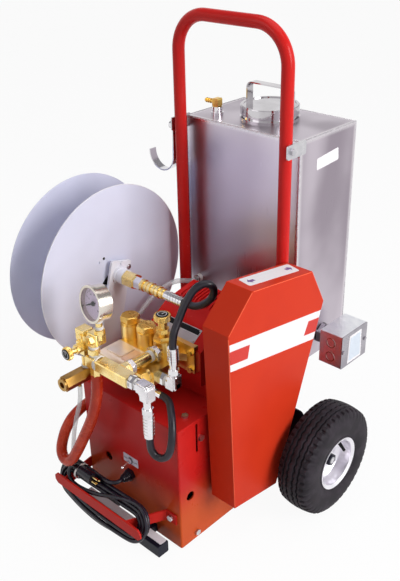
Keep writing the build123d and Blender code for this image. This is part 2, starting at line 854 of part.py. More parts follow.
def motor_rotor():
    """Rotor core on its shaft, reaching into the guard."""
    core = motor_len / 2 - rotor_end
    body = rod_x(motor_x - core, motor_x + core, motor_y, motor_z, motor_r - rotor_gap)
    end = pulley_x + pulley_w / 2 + shaft_past
    return body + rod_x(motor_x - motor_len / 2, end, motor_y, motor_z, motor_shaft_r)


def pulley(y, z, r, bore_r):
    """Single-groove pulley with a hub, bored for its shaft."""
    x0, x1 = pulley_x - pulley_w / 2, pulley_x + pulley_w / 2
    body = rod_x(x0, x1, y, z, r)
    groove = rod_x(pulley_x - groove_w / 2, pulley_x + groove_w / 2, y, z, r)
    body -= groove - rod_x(x0, x1, y, z, r - groove_deep)
    return body - rod_x(x0, x1, y, z, bore_r)


def belt_loop(motor_radius, pump_radius):
    """Outline round both pulleys, standing at x = 0."""
    return ring_hull([(*belt_point(0, 0), motor_radius), (*belt_point(belt_centres, 0), pump_radius)])


def drive_belt():
    """Closed belt lying in both grooves, clear of their walls."""
    outer = belt_loop(motor_pulley_r - belt_in, pump_pulley_r - belt_in)
    inner = belt_loop(motor_pulley_r - belt_in - belt_t, pump_pulley_r - belt_in - belt_t)
    flat = extrude(outer - inner, belt_w)
    return Pos(pulley_x - belt_w / 2, 0, 0) * Plane.YZ.location * flat


def guard_outline(inset):
    """(y, z) corners of the guard, drawn in by the sheet."""
    peak = belt_centres + guard_peak - inset
    shoulder = belt_centres + guard_shoulder
    rows = [(-guard_foot + inset, guard_foot_half - inset), (shoulder, guard_shoulder_half - inset),
            (peak, guard_peak_half - inset * 0.6)]
    rear = [belt_point(along, half) for along, half in rows]
    front = [belt_point(along, -half) for along, half in reversed(rows)]
    return rear + front


def belt_guard():
    """Folded guard, open to the base side, with the posts that hold it inside."""
    body = extrude(yz_face(guard_outline(0), guard_x0), guard_t, dir=(1, 0, 0))
    body = fillet(body.edges().filter_by(Axis.X), guard_fold)
    body = fillet(body.edges().group_by(Axis.X)[-1], guard_fold - 0.5)
    body -= extrude(yz_face(guard_outline(guard_sheet), guard_x0), guard_t - guard_sheet, dir=(1, 0, 0))
    low = standoff_low_half
    for along, across in ((standoff_low, low), (standoff_low, -low), (standoff_mid, 0)):
        y, z = belt_point(along, across)
        body += rod_x(base_x, guard_x1 - guard_sheet, y, z, standoff_r)
    return body


# Pump

def crankcase_outline():
    """(y, z) side view of the crankcase."""
    front, rear = pump_y - case_front, pump_y + case_rear
    bottom = base_top + rail_h
    return [(front, bottom), (front, pump_z + case_brow), (front + case_slope, pump_z + case_slope),
            (front + case_crest, pump_z + case_crest_up), (rear - case_back, pump_z + case_top_up),
            (rear, pump_z + case_back_up), (rear, bottom)]


def pump_crankcase():
    """Cast crankcase with cooling fins along its top."""
    body = extrude(yz_face(crankcase_outline(), case_x0), case_x1 - case_x0, dir=(1, 0, 0))
    body = chamfer(body.edges().filter_by(Axis.X, reverse=True).group_by(Axis.Z)[-1], 14)
    fins = int((case_x1 - case_x0 - 40) / fin_pitch)
    first = (case_x0 + case_x1) / 2 - (fins - 1) / 2 * fin_pitch
    front, rear = pump_y - case_front, pump_y + case_rear - case_back - 6
    fin_front, above = front + case_slope + 8, pump_z + case_top_up + case_back
    for step in range(fins):
        x = first + step * fin_pitch
        corners = [(fin_front, pump_z + case_crest_up - 16),
                   (front + case_crest, pump_z + case_crest_up - fin_deep),
                   (rear, pump_z + case_top_up - fin_deep), (rear, above), (fin_front, above)]
        body -= extrude(yz_face(corners, x - fin_w / 2), fin_w, dir=(1, 0, 0))
    return body - rod_x(case_x0 + 12, case_x1 + 1, pump_y, pump_z, crank_r + running_fit)


def pump_rails():
    """Two channel rails between the base top and the crankcase."""
    rails = []
    for y in (pump_y - case_front + 6, pump_y + case_rear - 6 - rail_w):
        rail = block(case_x0 - 20, case_x1 + 34, y, y + rail_w, base_top, base_top + rail_h)
        rail -= block(case_x0 - 20, case_x1 + 34, y + 4, y + rail_w - 4, base_top, base_top + rail_h - 4)
        rails.append(rail)
    return rails


def pump_crankshaft():
    """Crankshaft stub with its big pulley's seat."""
    return rod_x(case_x0 + 13, pulley_x + pulley_w / 2 + shaft_past, pump_y, pump_z, crank_r)


def tower_places():
    """x of the three valve towers."""
    return [tower_mid + tower_pitch * step for step in (-1, 0, 1)]


def pump_head():
    """Brass head: bolted flange, three valve towers and the front chamber."""
    z0, z1 = pump_z - flange_half_h, pump_z + flange_half_h
    head = block(flange_x0, flange_x1, flange_y0, flange_y1, z0, z1)
    towers = tower_places()
    x0, x1 = towers[0] - tower_r + 2, towers[-1] + tower_r - 2
    head += block(x0, x1, tower_y, flange_y0, z0 + 4, tower_top - 8)
    for x in towers:
        head += rod_z(z0 + 4, tower_top, x, tower_y, tower_r)
    gusset = make_face(Polyline((x1 - 4, flange_y0, pump_z), (flange_x1 - 22, flange_y0, pump_z),
                                (x1 - 4, tower_y - 6, pump_z), close=True))
    head += extrude(gusset, 9, both=True)
    top, bottom = pump_z + chamber_up, pump_z - chamber_down
    nose = block(chamber_x0, plug_x - 24, chamber_y0 - chamber_nose, tower_y, bottom, top)
    nose = fillet(nose.edges().filter_by(Axis.X).group_by(Axis.Y)[0], 12)
    head += nose
    head += block(plug_x - 26, chamber_x1, chamber_y0, tower_y, bottom + 4, top - 3)
    plug_y = chamber_y0
    head += rod_y(plug_y - 8, plug_y, plug_x, pump_z - 16, plug_af / 2)
    return head - rod_y(bar_y, nipple_end, nipple_x, bar_z, nipple_r)


def hex_cap(x, y, z):
    """Hexagon cap on a tower, its top corners turned off."""
    top = z + cap_hex_h
    bevel = Pos(x, y, top - cap_bevel / 2) * Cone(cap_af / 2 + cap_bevel, cap_af / 2 - 1, cap_bevel)
    corners = rod_z(top - cap_bevel, top, x, y, cap_af) - bevel
    return hex_z(z, top, x, y, cap_af) - corners


def valve_caps():
    """Brass caps on the towers, the pulse valve stem and the front plug."""
    caps = []
    towers = tower_places()
    for x, collar in ((towers[0], cap_collar_h), (towers[1], 1.0)):
        z = tower_top + collar
        caps.append(rod_z(tower_top, z, x, tower_y, tower_r - 1) + hex_cap(x, tower_y, z))
    x = towers[2]
    stem = hex_z(tower_top, tower_top + 10, x, tower_y, cap_af - 4)
    stem += rod_z(tower_top + 10, tower_top + pulse_stem_h - 8, x, tower_y, 10)
    stem += hex_z(tower_top + 16, tower_top + 26, x, tower_y, 24)
    stem += rod_z(tower_top, tower_top + pulse_stem_h + 2, x, tower_y, 5)
    caps.append(stem)
    plug_y = chamber_y0 - 8
    caps.append(hex_y(plug_y - plug_len + 8, plug_y, plug_x, pump_z - 16, plug_af))
    for z in (pump_z - 23, pump_z + 17):
        caps.append(hex_y(flange_y0 - 7, flange_y0, flange_x1 - 10, z, head_bolt_af))
    return caps


def pulse_knob():
    """Round knob that turns on the pulse valve stem."""
    x = tower_places()[2]
    z = tower_top + pulse_stem_h - 8 + gap
    knob = rod_z(z, z + pulse_t, x, tower_y, pulse_r)
    knob = fillet(knob.edges().filter_by(GeomType.CIRCLE), 2)
    return knob - rod_z(z, tower_top + pulse_stem_h + 2 + gap, x, tower_y, 5 + running_fit)


def pump_pulley():
    """Big pulley on the crankshaft."""
    return pulley(pump_y, pump_z, pump_pulley_r, crank_r)


# Brass manifold

def manifold():
    """Bar, nipple to the head, and the two fitting columns on its left."""
    y0, y1 = bar_y - bar_d / 2, bar_y + bar_d / 2
    z0, z1 = bar_z - bar_h / 2, bar_z + bar_h / 2
    bar = block(bar_x0, bar_x1, y0, y1, z0, z1)
    bar = chamfer(bar.edges().filter_by(Axis.X), 2)
    pipe = rod_y(y1 - 2, nipple_end, nipple_x, bar_z, nipple_r)
    pipe += hex_y(y1 - 1, y1 + 12, nipple_x, bar_z, nipple_af - 3)
    pipe += hex_y(nipple_end - 24, nipple_end - 8, nipple_x, bar_z, nipple_af)
    half = tee_size / 2
    column_a = hex_x(column_a_x, bar_x0 + 1, bar_y, bar_z, 20)
    column_a += tee(column_a_x, bar_y, bar_z)
    column_a += rod_z(inlet_top, tee_z, column_a_x, bar_y, column_r)
    column_a += hex_z(inlet_top, bar_z - half, column_a_x, bar_y, 20)
    column_a += hex_z(bar_z + half + 4, bar_z + half + 16, column_a_x, bar_y, 22)
    column_a += tee(column_a_x, tee_y, tee_z)
    column_a += hex_y(tee_y - half - 10, tee_y - half, column_a_x, tee_z, 20)
    column_a += hex_z(tee_z + half, tee_z + half + 9, stem_x, tee_y, 20)
    column_a += rod_z(tee_z, gauge_stem_top, stem_x, tee_y, gauge_stem_r)
    column_b = tee(tee_b_x, tee_y, tee_z - 6)
    column_b += rod_x(tee_b_x, column_a_x, tee_y, tee_z - 4, column_r)
    column_b += rod_z(relief_z, tee_z, column_b_x, bar_y, column_r)
    column_b += hex_z(tee_z - half - 12, tee_z - half + 3, column_b_x, bar_y, 21)
    knob_z = bar_z + knob_drop
    column_b += block(column_b_x - 12, column_b_x + 12, bar_y - 12, bar_y + 12, knob_z - 16, knob_z + 12)
    column_b += rod_y(bar_y - knob_reach, bar_y, column_b_x, knob_z, 7)
    column_b += rod_y(bar_y - knob_reach - 8, bar_y, column_b_x, knob_z, 4)
    column_b += hex_y(bar_y - 24, bar_y - 12, column_b_x, knob_z, 18)
    return bar + pipe + column_a + column_b


def relief_valve():
    """Hexagon relief valve pointing forward, with a drain barb below."""
    y1 = bar_y + column_r + 2
    body = hex_y(relief_y0 + 4, y1, column_b_x, relief_z, relief_af)
    body += rod_y(relief_y0, relief_y0 + 4, column_b_x, relief_z, relief_af / 2 - 1)
    body -= rod_y(relief_y0, relief_y0 + 10, column_b_x, relief_z, 7)
    body -= rod_z(relief_z, relief_z + relief_af, column_b_x, bar_y, column_r)
    return body + rod_z(relief_z - relief_af / 2 - 12, relief_z, column_b_x - 4, bar_y - 20, 4)


def on_gauge(shape):
    """Piece made facing -Y about the origin, put at the gauge."""
    return Pos(stem_x, tee_y, gauge_z) * Rot(0, 0, -gauge_turn) * Rot(-gauge_tilt, 0, 0) * shape


def gauge_case():
    """Round case, open in front, with a bezel lip and a dial floor."""
    half = gauge_t / 2
    case = rod_y(-half, half, 0, 0, gauge_r)
    case -= rod_y(-half, half - gauge_wall - dial_deep, 0, 0, gauge_r - gauge_wall)
    bezel = rod_y(-half - 3, -half + 4, 0, 0, gauge_r + bezel_lip)
    case += bezel - rod_y(-half - 4, -half + 5, 0, 0, gauge_r - gauge_wall)
    case += rod_y(half - gauge_wall - dial_deep - 5, half - gauge_wall, 0, 0, needle_pin_r)
    return on_gauge(case) - rod_z(tee_z, gauge_stem_top, stem_x, tee_y, gauge_stem_r)


def gauge_needle():
    """Needle with a hub that turns on the dial pin."""
    y1 = gauge_t / 2 - gauge_wall - dial_deep - gap - 1
    hub = rod_y(y1 - 2, y1, 0, 0, 5)
    arm = block(-1.1, 1.1, y1 - 2, y1 - 0.6, -9, needle_len)
    needle = hub + arm - rod_y(y1 - 3, y1 + 1, 0, 0, needle_pin_r + running_fit)
    return on_gauge(Rot(0, needle_rest, 0) * needle)


def regulator_knob():
    """Round knob that turns on the regulator stem."""
    y1 = bar_y - knob_reach - gap
    z = bar_z + knob_drop
    knob = rod_y(y1 - knob_t, y1, column_b_x, z, knob_r)
    knob = fillet(knob.edges().filter_by(GeomType.CIRCLE), 2)
    return knob - rod_y(bar_y - knob_reach - 8 - gap, y1, column_b_x, z, 4 + running_fit)


# Hoses and fittings

head_elbow_x = chamber_x1 + 39
head_elbow_y = chamber_y0 + 20
head_elbow_z = pump_z - 22
bar_elbow_x = bar_x1 + 45
crimp_top = head_elbow_z + 16 + 34 + crimp_len
bypass_top = bar_z - 58
bypass_low = bypass_top - crimp_len - 18
bypass_end = (chamber_x1 + 16, chamber_y0 + 6, pump_z - chamber_down - 16)


def elbow_body(x, y, z, half):
    """Rounded corner of a street elbow."""
    body = cube(x, y, z, 2 * half)
    return fillet(body.edges(), half * 0.55)


def hose_fittings():
    """Chrome nuts, elbows and crimps on the hose ends, and the vent bushing."""
    nut_x0 = swivel_x0 + 31
    nut = hex_x(nut_x0, nut_x0 + 21, reel_y, reel_z, 26) - rod_x(nut_x0, nut_x0 + 21, reel_y, reel_z, 8)
    ferrule = rod_x(swivel_x1, swivel_x1 + ferrule_len, reel_y, reel_z, ferrule_r)
    elbow = hex_x(chamber_x1, chamber_x1 + 16, head_elbow_y, head_elbow_z, 24)
    elbow += rod_x(chamber_x1, head_elbow_x, head_elbow_y, head_elbow_z, 10)
    elbow += elbow_body(head_elbow_x, head_elbow_y, head_elbow_z, 12)
    elbow += rod_z(head_elbow_z, crimp_top - crimp_len, head_elbow_x, head_elbow_y, 9)
    elbow += hex_z(head_elbow_z + 26, head_elbow_z + 38, head_elbow_x, head_elbow_y, 20)
    elbow += rod_z(crimp_top - crimp_len, crimp_top, head_elbow_x, head_elbow_y, crimp_r)
    tail = hex_x(bar_x1, bar_x1 + 16, bar_y, bar_z, 26)
    tail += rod_x(bar_x1, bar_elbow_x, bar_y, bar_z, 10)
    tail += hex_x(bar_x1 + 18, bar_x1 + 30, bar_y, bar_z, 22)
    tail += elbow_body(bar_elbow_x, bar_y, bar_z, 12)
    tail += rod_z(bypass_top - crimp_len, bar_z, bar_elbow_x, bar_y, 9)
    tail += hex_z(bypass_top, bypass_top + 14, bar_elbow_x, bar_y, 21)
    tail += rod_z(bypass_low, bypass_top, bar_elbow_x, bar_y, crimp_r)
    under = rod_z(bypass_end[2], pump_z - chamber_down + 4, bypass_end[0] - 28, bypass_end[1], 9)
    under += rod_x(bypass_end[0] - 28, bypass_end[0], bypass_end[1], bypass_end[2], 9)
    bushing = rod_z(tank_top, tank_top + 8, vent_x, vent_y, 14)
    bushing += rod_z(tank_top, tank_top + bushing_h, vent_x, vent_y, 12)
    outlet = rod_z(tank_z - outlet_drop, tank_z, outlet_x, outlet_y, outlet_d / 2)
    outlet += rod_x(outlet_end, outlet_x, outlet_y, tank_z - outlet_drop, outlet_d / 2)
    return [nut, ferrule, elbow, tail, under, bushing, outlet, return_fitting()]


outlet_end = outlet_x - 18
outlet_hose_z = tank_z - outlet_drop
return_x = -124.0
return_z = 441.0
return_y = tank_y - 16
return_in_y = flange_y0 + flange_t / 2
return_in_z = pump_z - 24
drain_x = column_b_x - 4
drain_y = bar_y - 20
drain_z = relief_z - relief_af / 2 - 12
pressure_route = [
    (swivel_x1 + ferrule_len, reel_y, reel_z), (58, reel_y, reel_z), (81, -187, 524), (101, -186, 540),
    (117, -188, 561), (121, -194, 584), (109, -208, 590), (98, -226, 572), (95, -246, 552), (96, -266, 528),
    (head_elbow_x, head_elbow_y, crimp_top + 26), (head_elbow_x, head_elbow_y, crimp_top),
]
bypass_route = [
    (bar_elbow_x, bar_y, bypass_low), (bar_elbow_x, bar_y, bypass_low - 22),
    (118, -369, 272), (133, -363, 265), (147, -355, 281), (149, -348, 308),
    (140, -337, 335), (121, -320, 352), (bypass_end[0] + 20, bypass_end[1], bypass_end[2]), bypass_end,
]
inlet_route = [
    (column_a_x, bar_y, inlet_top), (column_a_x, bar_y, inlet_top - 31), (-51, -375, 320), (-63, -381, 274),
    (-83, -391, 224), (-106, -401, 176), (-128, -407, 146), (-146, -407, 134), (-163, -402, 140),
    (-170, -392, 163),
    (-171, -376, 192), (-173, -352, 213), (-175, -312, 224), (-177, -252, 227), (-178, -188, 230),
    (-179, -124, 235), (-180, -64, 243), (-178, -14, 250), (-174, 30, 256), (-152, 64, 258),
    (outlet_end - 14, outlet_y, outlet_hose_z), (outlet_end, outlet_y, outlet_hose_z),
]
return_route = [
    (return_x, return_y, return_z), (return_x, return_y - 18, return_z), (-128, -23, 450), (-137, -47, 454),
    (-146, -76, 447), (-151, -108, 431), (-150, -141, 412), (-144, -173, 397), (-133, -201, return_in_z),
    (flange_x0 - 14, return_in_y, return_in_z), (flange_x0, return_in_y, return_in_z),
]
drain_route = [
    (drain_x, drain_y, drain_z), (drain_x, drain_y, drain_z - 20), (-90, -391, 300), (-106, -390, 262),
    (-121, -389, 222), (-131, -387, 182), (-140, -385, 152),
]
cord_exit_y = base_y0 - relief_gland_len
cord_route = [
    (cord_x, cord_exit_y, cord_z), (cord_x, cord_exit_y - 9, cord_z),
    (cord_x - 4, cord_exit_y - 17, cord_z - 2), (cord_x - 12, cord_exit_y - 23, cord_z - 5),
    (cord_x - 23, cord_exit_y - 26.5, cord_z - 8), (cord_x - 36, cord_exit_y - 28, cord_z - 11),
]


def return_fitting():
    """White elbow on the tank front that the clear return tube leaves."""
    return rod_y(return_y, tank_y, return_x, return_z, 9)


# Front panel and cord

def switch_plate():
    """Plate of the toggle switch with its threaded bush."""
    plate = block(switch_x - switch_w / 2, switch_x + switch_w / 2, base_y0 - 1.5, base_y0,
                  switch_z - switch_h / 2, switch_z + switch_h / 2)
    bush = rod_y(base_y0 - 8, base_y0 + 20, switch_x, switch_z, 6)
    return plate + bush - rod_y(base_y0 - 9, base_y0 + 3, switch_x, switch_z, 4.6)


def switch_lever():
    """Bat lever, resting in its down position."""
    lever = rod_y(-bat_len - 8, 0, 0, 0, bat_r) + Pos(0, -bat_len - 8, 0) * Sphere(bat_r + 0.8)
    lever += Sphere(bat_r + 1.2)
    return Pos(switch_x, base_y0 - 2, switch_z) * Rot(12, 0, 0) * lever


def strain_relief():
    """Tapered gland with a nut, on the front panel."""
    nut = hex_y(base_y0 - 9, base_y0, cord_x, cord_z, 26)
    taper = Pos(cord_x, base_y0 - 9 - (relief_gland_len - 9) / 2, cord_z) * Rot(90, 0, 0) * Cone(
        11, 7.5, relief_gland_len - 9)
    return nut + taper


def hank_middle():
    """(y, z) of the middle of the wound hank, behind the bracket bar."""
    return cord_bar_y + hank_back, bracket_bar_z + hank_up


def on_hank(shape):
    """Piece made flat about the origin, put in the hank's leaning plane."""
    y, z = hank_middle()
    return Pos(0, y, z) * Rot(hank_tilt, 0, 0) * shape


def cord_hank():
    """Wound cord as one flat loop round both bracket arms, fanned out at its right end."""
    right, left = arm_bar_x + hank_ahead, left_bar_x
    outer = ring_hull([(right, hank_lift, hank_right_r), (left, hank_lift, hank_left_r),
                       (0, hank_sag_r - hank_sag, hank_sag_r)])
    eye = ring_hull([(right, hank_lift, hank_eye_right), (left, hank_lift, hank_eye_left)])
    loop = extrude(outer - eye, hank_w / 2, both=True)
    loop -= rod_x(left, right, plug_up, plug_front, plug_r + gap)
    return on_hank(loop)


def power_plug():
    """Three-pin plug lying against the hank's upper strands."""
    pins = plug_tip - 18
    body = rod_x(pins - 42, pins, 0, 0, plug_r) + rod_x(pins - 60, pins - 42, 0, 0, 8)
    for dy in (-5, 5):
        body += block(pins, plug_tip, dy - 0.8, dy + 0.8, 0, 6)
    body += rod_x(pins, plug_tip, 0, -6, 2.4)
    return on_hank(Pos(0, plug_up, plug_front) * body)


def slant_arm(bar_x, base_arm_x):
    """Flat arm from the bracket bar back to the base front, by its middle line's ends."""
    half = bracket_bar_t / 2
    corners = [(bar_x - half, cord_bar_y), (bar_x + half, cord_bar_y),
               (base_arm_x + half, base_y0), (base_arm_x - half, base_y0)]
    face = make_face(Polyline(*[(x, y, bracket_bar_z) for x, y in corners], close=True))
    return extrude(face, bracket_arm_h, dir=(0, 0, 1))


def cord_bracket():
    """Flat bar on two leaning arms, bolted to the base front and its left side."""
    y0, t = cord_bar_y, bracket_bar_t
    z0, arm_top = bracket_bar_z, bracket_bar_z + bracket_arm_h
    bar = block(bracket_bar_x0, bracket_bar_x1, y0, y0 + t, z0, z0 + bracket_bar_h)
    bar = chamfer(bar.edges().filter_by(Axis.Y), 8)
    bar += slant_arm(arm_bar_x, bracket_arm_x)
    bar += block(bracket_arm_x, bracket_arm_x + 28, base_y0 - t, base_y0, z0, arm_top)
    bar += slant_arm(left_bar_x, -base_x - t / 2)
    return bar + block(-base_x - t, -base_x, base_y0, base_y0 + bracket_lap, z0, arm_top)


pieces = {
    "handle_frame": handle_frame(),
    "back_plate": back_plate(),
    "axle": axle(),
    "axle_nuts": axle_nuts(),
    "base_box": base_box(),
    "base_floor": base_floor(),
    "foot_bar": foot_bar(),
    "frame_bolts": frame_bolts(),
    "tank_shelf": tank_shelf(),
    "tank_shell": tank_shell(),
    "tank_brackets": tank_brackets(),
    "filler_neck": filler_neck(),
    "filler_cap": filler_cap(),
    "cap_gasket": cap_gasket(),
    "vent_elbow": vent_elbow(),
    "heater_element": heater_element(),
    "terminal_box": terminal_box(),
    "terminal_cover": terminal_cover(),
    "hose_hook": hose_hook(),
    "reel_flanges": reel_flanges(),
    "reel_drum": reel_drum(),
    "reel_arm": reel_arm(),
    "reel_bearing": reel_bearing(),
    "reel_swivel": reel_swivel(),
    "motor_housing": motor_housing(),
    "motor_rotor": motor_rotor(),
    "motor_pulley": pulley(motor_y, motor_z, motor_pulley_r, motor_shaft_r),
    "drive_belt": drive_belt(),
    "pump_pulley": pump_pulley(),
    "pump_crankshaft": pump_crankshaft(),
    "belt_guard": belt_guard(),
    "pump_crankcase": pump_crankcase(),
    "pump_rails": pump_rails(),
    "pump_head": pump_head(),
    "valve_caps": valve_caps(),
    "pulse_knob": pulse_knob(),
    "manifold": manifold(),
    "relief_valve": relief_valve(),
    "regulator_knob": regulator_knob(),
    "gauge_case": gauge_case(),
    "gauge_needle": gauge_needle(),
    "hose_fittings": hose_fittings(),
    "pressure_hose": cord_tube(pressure_route, hose_d, "pressure_hose"),
    "bypass_hose": cord_tube(bypass_route, hose_d, "bypass_hose"),
    "inlet_hose": cord_tube(inlet_route, inlet_d, "inlet_hose"),
    "return_tube": cord_tube(return_route, clear_d, "return_tube"),
    "drain_tube": cord_tube(drain_route, drain_d, "drain_tube", drain_d - 3),
    "switch_plate": switch_plate(),
    "switch_lever": switch_lever(),
    "strain_relief": strain_relief(),
    "power_cord": cord_tube(cord_route, cord_d, "power_cord"),
    "cord_hank": cord_hank(),
    "power_plug": power_plug(),
    "cord_bracket": cord_bracket(),
}
for side, name in ((-1, "left"), (1, "right")):
    pieces["tyre_" + name] = on_wheel(tyre(), side)
    pieces["rim_" + name] = on_wheel(rim(), side)
    pieces["wheel_bearings_" + name] = on_wheel(wheel_bearings(), side)

os.makedirs("parts", exist_ok=True)
to_origin = Location((0, -origin_y, 0))
for name, piece in pieces.items():
    solids = piece if isinstance(piece, list) else [piece]
    moved = [solid.moved(to_origin) for solid in solids]
    export_step(moved[0] if len(moved) == 1 else Compound(moved), f"parts/{name}.step")
print(len(pieces), "nodes")
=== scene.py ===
# %% Load the fixed frame
import bmesh
import bpy
import math
from mathutils import Matrix, Vector


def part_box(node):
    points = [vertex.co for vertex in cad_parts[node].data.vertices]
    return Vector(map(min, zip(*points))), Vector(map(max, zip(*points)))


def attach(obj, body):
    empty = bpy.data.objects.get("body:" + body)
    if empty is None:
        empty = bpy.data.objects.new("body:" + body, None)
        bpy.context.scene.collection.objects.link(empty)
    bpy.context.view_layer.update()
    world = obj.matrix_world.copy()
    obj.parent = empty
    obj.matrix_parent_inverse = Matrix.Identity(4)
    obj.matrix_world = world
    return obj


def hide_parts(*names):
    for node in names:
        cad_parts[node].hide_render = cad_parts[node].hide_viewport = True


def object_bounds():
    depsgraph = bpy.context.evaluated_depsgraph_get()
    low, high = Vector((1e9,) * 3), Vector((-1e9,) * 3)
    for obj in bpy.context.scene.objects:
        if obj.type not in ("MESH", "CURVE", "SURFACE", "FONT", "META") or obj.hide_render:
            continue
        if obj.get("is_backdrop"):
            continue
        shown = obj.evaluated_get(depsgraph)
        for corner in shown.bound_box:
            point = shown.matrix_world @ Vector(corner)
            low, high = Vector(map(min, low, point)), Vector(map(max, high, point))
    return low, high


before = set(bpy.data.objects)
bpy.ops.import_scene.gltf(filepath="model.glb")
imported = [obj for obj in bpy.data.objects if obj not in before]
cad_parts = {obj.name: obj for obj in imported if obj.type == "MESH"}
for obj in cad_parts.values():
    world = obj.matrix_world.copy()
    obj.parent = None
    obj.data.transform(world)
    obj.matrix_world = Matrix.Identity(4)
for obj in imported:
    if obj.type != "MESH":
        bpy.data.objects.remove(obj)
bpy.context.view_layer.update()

# %% [markdown]
# # A pipe thawing machine on its hand truck
# The solids come from the frame and keep their places. This lesson gives them finishes, lays the
# hoses and the cord, and adds what is too small or too soft for solids: tread, dial, bands, welds.
# All lengths are metres. The truck was drawn about its uprights, so one helper turns millimetres
# measured from the uprights and the floor into the frame's own metres.

# %% Measures from the truck's drawing
UPRIGHT_Y = 0.105


def spot(x, y, z):
    """Millimetres from the truck's middle, uprights and floor, as a point in the frame."""
    return Vector((x / 1000, y / 1000 + UPRIGHT_Y, z / 1000))


def link(piece):
    """Puts a new object into the scene."""
    bpy.context.scene.collection.objects.link(piece)
    return piece


# %% [markdown]
# ## Camera
# The picture was taken from the right front, above the handle, with a normal lens. The camera's place
# and angles were fitted to edges whose real sizes are known, so every later comparison can be made
# pixel by pixel. Building the matrix from three axes avoids any tracking constraint.

# %% Camera
TURN, PITCH, ROLL = math.radians(43.9), math.radians(27.7), math.radians(-1.3)
EYE = Vector((1.0860, -1.1259, 1.3206))
FOCAL_PIXELS, IMAGE_HEIGHT = 806.0, 581.0

lens = bpy.data.cameras.new("camera")
lens.sensor_width = 36.0
lens.lens = FOCAL_PIXELS * lens.sensor_width / IMAGE_HEIGHT
lens.clip_start, lens.clip_end = 0.05, 60.0
camera = link(bpy.data.objects.new("camera", lens))
back = Vector((math.sin(TURN) * math.cos(PITCH), -math.cos(TURN) * math.cos(PITCH), math.sin(PITCH)))
level = Vector((math.cos(TURN), math.sin(TURN), 0))
upward = back.cross(level)
right = math.cos(ROLL) * level + math.sin(ROLL) * upward
above = math.cos(ROLL) * upward - math.sin(ROLL) * level
axes = Matrix((right, above, back)).transposed().to_4x4()
camera.matrix_world = Matrix.Translation(EYE) @ axes
bpy.context.scene.camera = camera
bpy.context.scene.view_settings.view_transform = "Standard"
print("lens", round(lens.lens, 2))

# %% [markdown]
# ## Shader arithmetic
# A finish is a small network of nodes. Writing it as plain arithmetic keeps it readable: a Term wraps
# a socket, and adding or multiplying Terms adds the Math nodes. Every other node comes from one
# method of Finish, which sets the node's options first and then its sockets.

# %% Terms
class Term:
    """A shader value that can be used in Python arithmetic."""

    def __init__(self, finish, socket):
        self.finish = finish
        self.socket = socket

    def math(self, operation, *others, swap=False):
        values = list(others) + [self] if swap else [self] + list(others)
        sockets = dict(enumerate(values))
        return self.finish.node("Math", {"operation": operation}, sockets)

    def __add__(self, other):
        return self.math("ADD", other)

    def __radd__(self, other):
        return self.math("ADD", other)

    def __sub__(self, other):
        return self.math("SUBTRACT", other)

    def __rsub__(self, other):
        return self.math("SUBTRACT", other, swap=True)

    def __mul__(self, other):
        return self.math("MULTIPLY", other)

    def __rmul__(self, other):
        return self.math("MULTIPLY", other)

    def __abs__(self):
        return self.math("ABSOLUTE")


# %% Finishes
class Finish:
    """One material, built around a Principled shader."""

    def __init__(self, name, **constants):
        self.material = bpy.data.materials.new(name)
        self.material.use_nodes = True
        self.tree = self.material.node_tree
        self.tree.nodes.clear()
        self.output = self.tree.nodes.new("ShaderNodeOutputMaterial")
        self.skin = self.tree.nodes.new("ShaderNodeBsdfPrincipled")
        self.tree.links.new(self.skin.outputs[0], self.output.inputs["Surface"])
        self.set(**constants)

    def feed(self, socket, value):
        """Links a Term, or sets a plain value."""
        if isinstance(value, Term):
            self.tree.links.new(value.socket, socket)
        elif socket.type == "RGBA" and len(value) == 3:
            socket.default_value = (*value, 1.0)
        else:
            socket.default_value = value

    def set(self, **sockets):
        """Sets or links the shader's own sockets; underscores stand for spaces."""
        for key, value in sockets.items():
            self.feed(self.skin.inputs[key.replace("_", " ")], value)
        return self

    def node(self, kind, settings=None, sockets=None, out=0):
        """Any other node: its type, its settings, then its sockets."""
        made = self.tree.nodes.new("ShaderNode" + kind)
        for key, value in (settings or {}).items():
            setattr(made, key, value)
        for key, value in (sockets or {}).items():
            self.feed(made.inputs[key], value)
        return Term(self, made.outputs[out])

    def where(self):
        """The point on the piece, in metres of the frame at rest."""
        return self.node("TexCoord", out=3)

    def axis(self, letter):
        """One coordinate of that point."""
        return self.node("SeparateXYZ", None, {0: self.where()}, out="XYZ".index(letter))

    def stretched(self, scale):
        """The point scaled by a different factor along each axis."""
        return self.node("Mapping", {"vector_type": "POINT"}, {"Vector": self.where(), "Scale": scale})

    def noise(self, scale, detail=2.0, roughness=0.5, stretch=None):
        """Soft noise from 0 to 1."""
        vector = self.stretched(stretch) if stretch else self.where()
        sockets = {"Vector": vector, "Scale": scale, "Detail": detail, "Roughness": roughness}
        return self.node("TexNoise", None, sockets)

    def blend(self, factor, first, second):
        """Colour between two colours."""
        return self.node("Mix", {"data_type": "RGBA"}, {0: factor, 6: first, 7: second}, out=2)

    def between(self, value, low, high, to_low=0.0, to_high=1.0):
        """Maps a value's range onto another, held at its ends."""
        sockets = {"Value": value, 1: low, 2: high, 3: to_low, 4: to_high}
        return self.node("MapRange", {"clamp": True, "interpolation_type": "SMOOTHSTEP"}, sockets)

    def bump(self, height, depth, strength=1.0):
        """Normal from a height of 0 to 1 that is depth metres deep."""
        sockets = {"Height": height, "Strength": strength, "Distance": depth}
        return self.node("Bump", None, sockets)


# %% [markdown]
# ## Rubber, cord and tube finishes
# These come first because the cords do. Rubber is nearly black and scatters light softly, so most of
# its look is roughness that changes a little, and a fine bump. The clear tube lets most light through
# and keeps a bright skin, which an alpha below one gives without refraction.

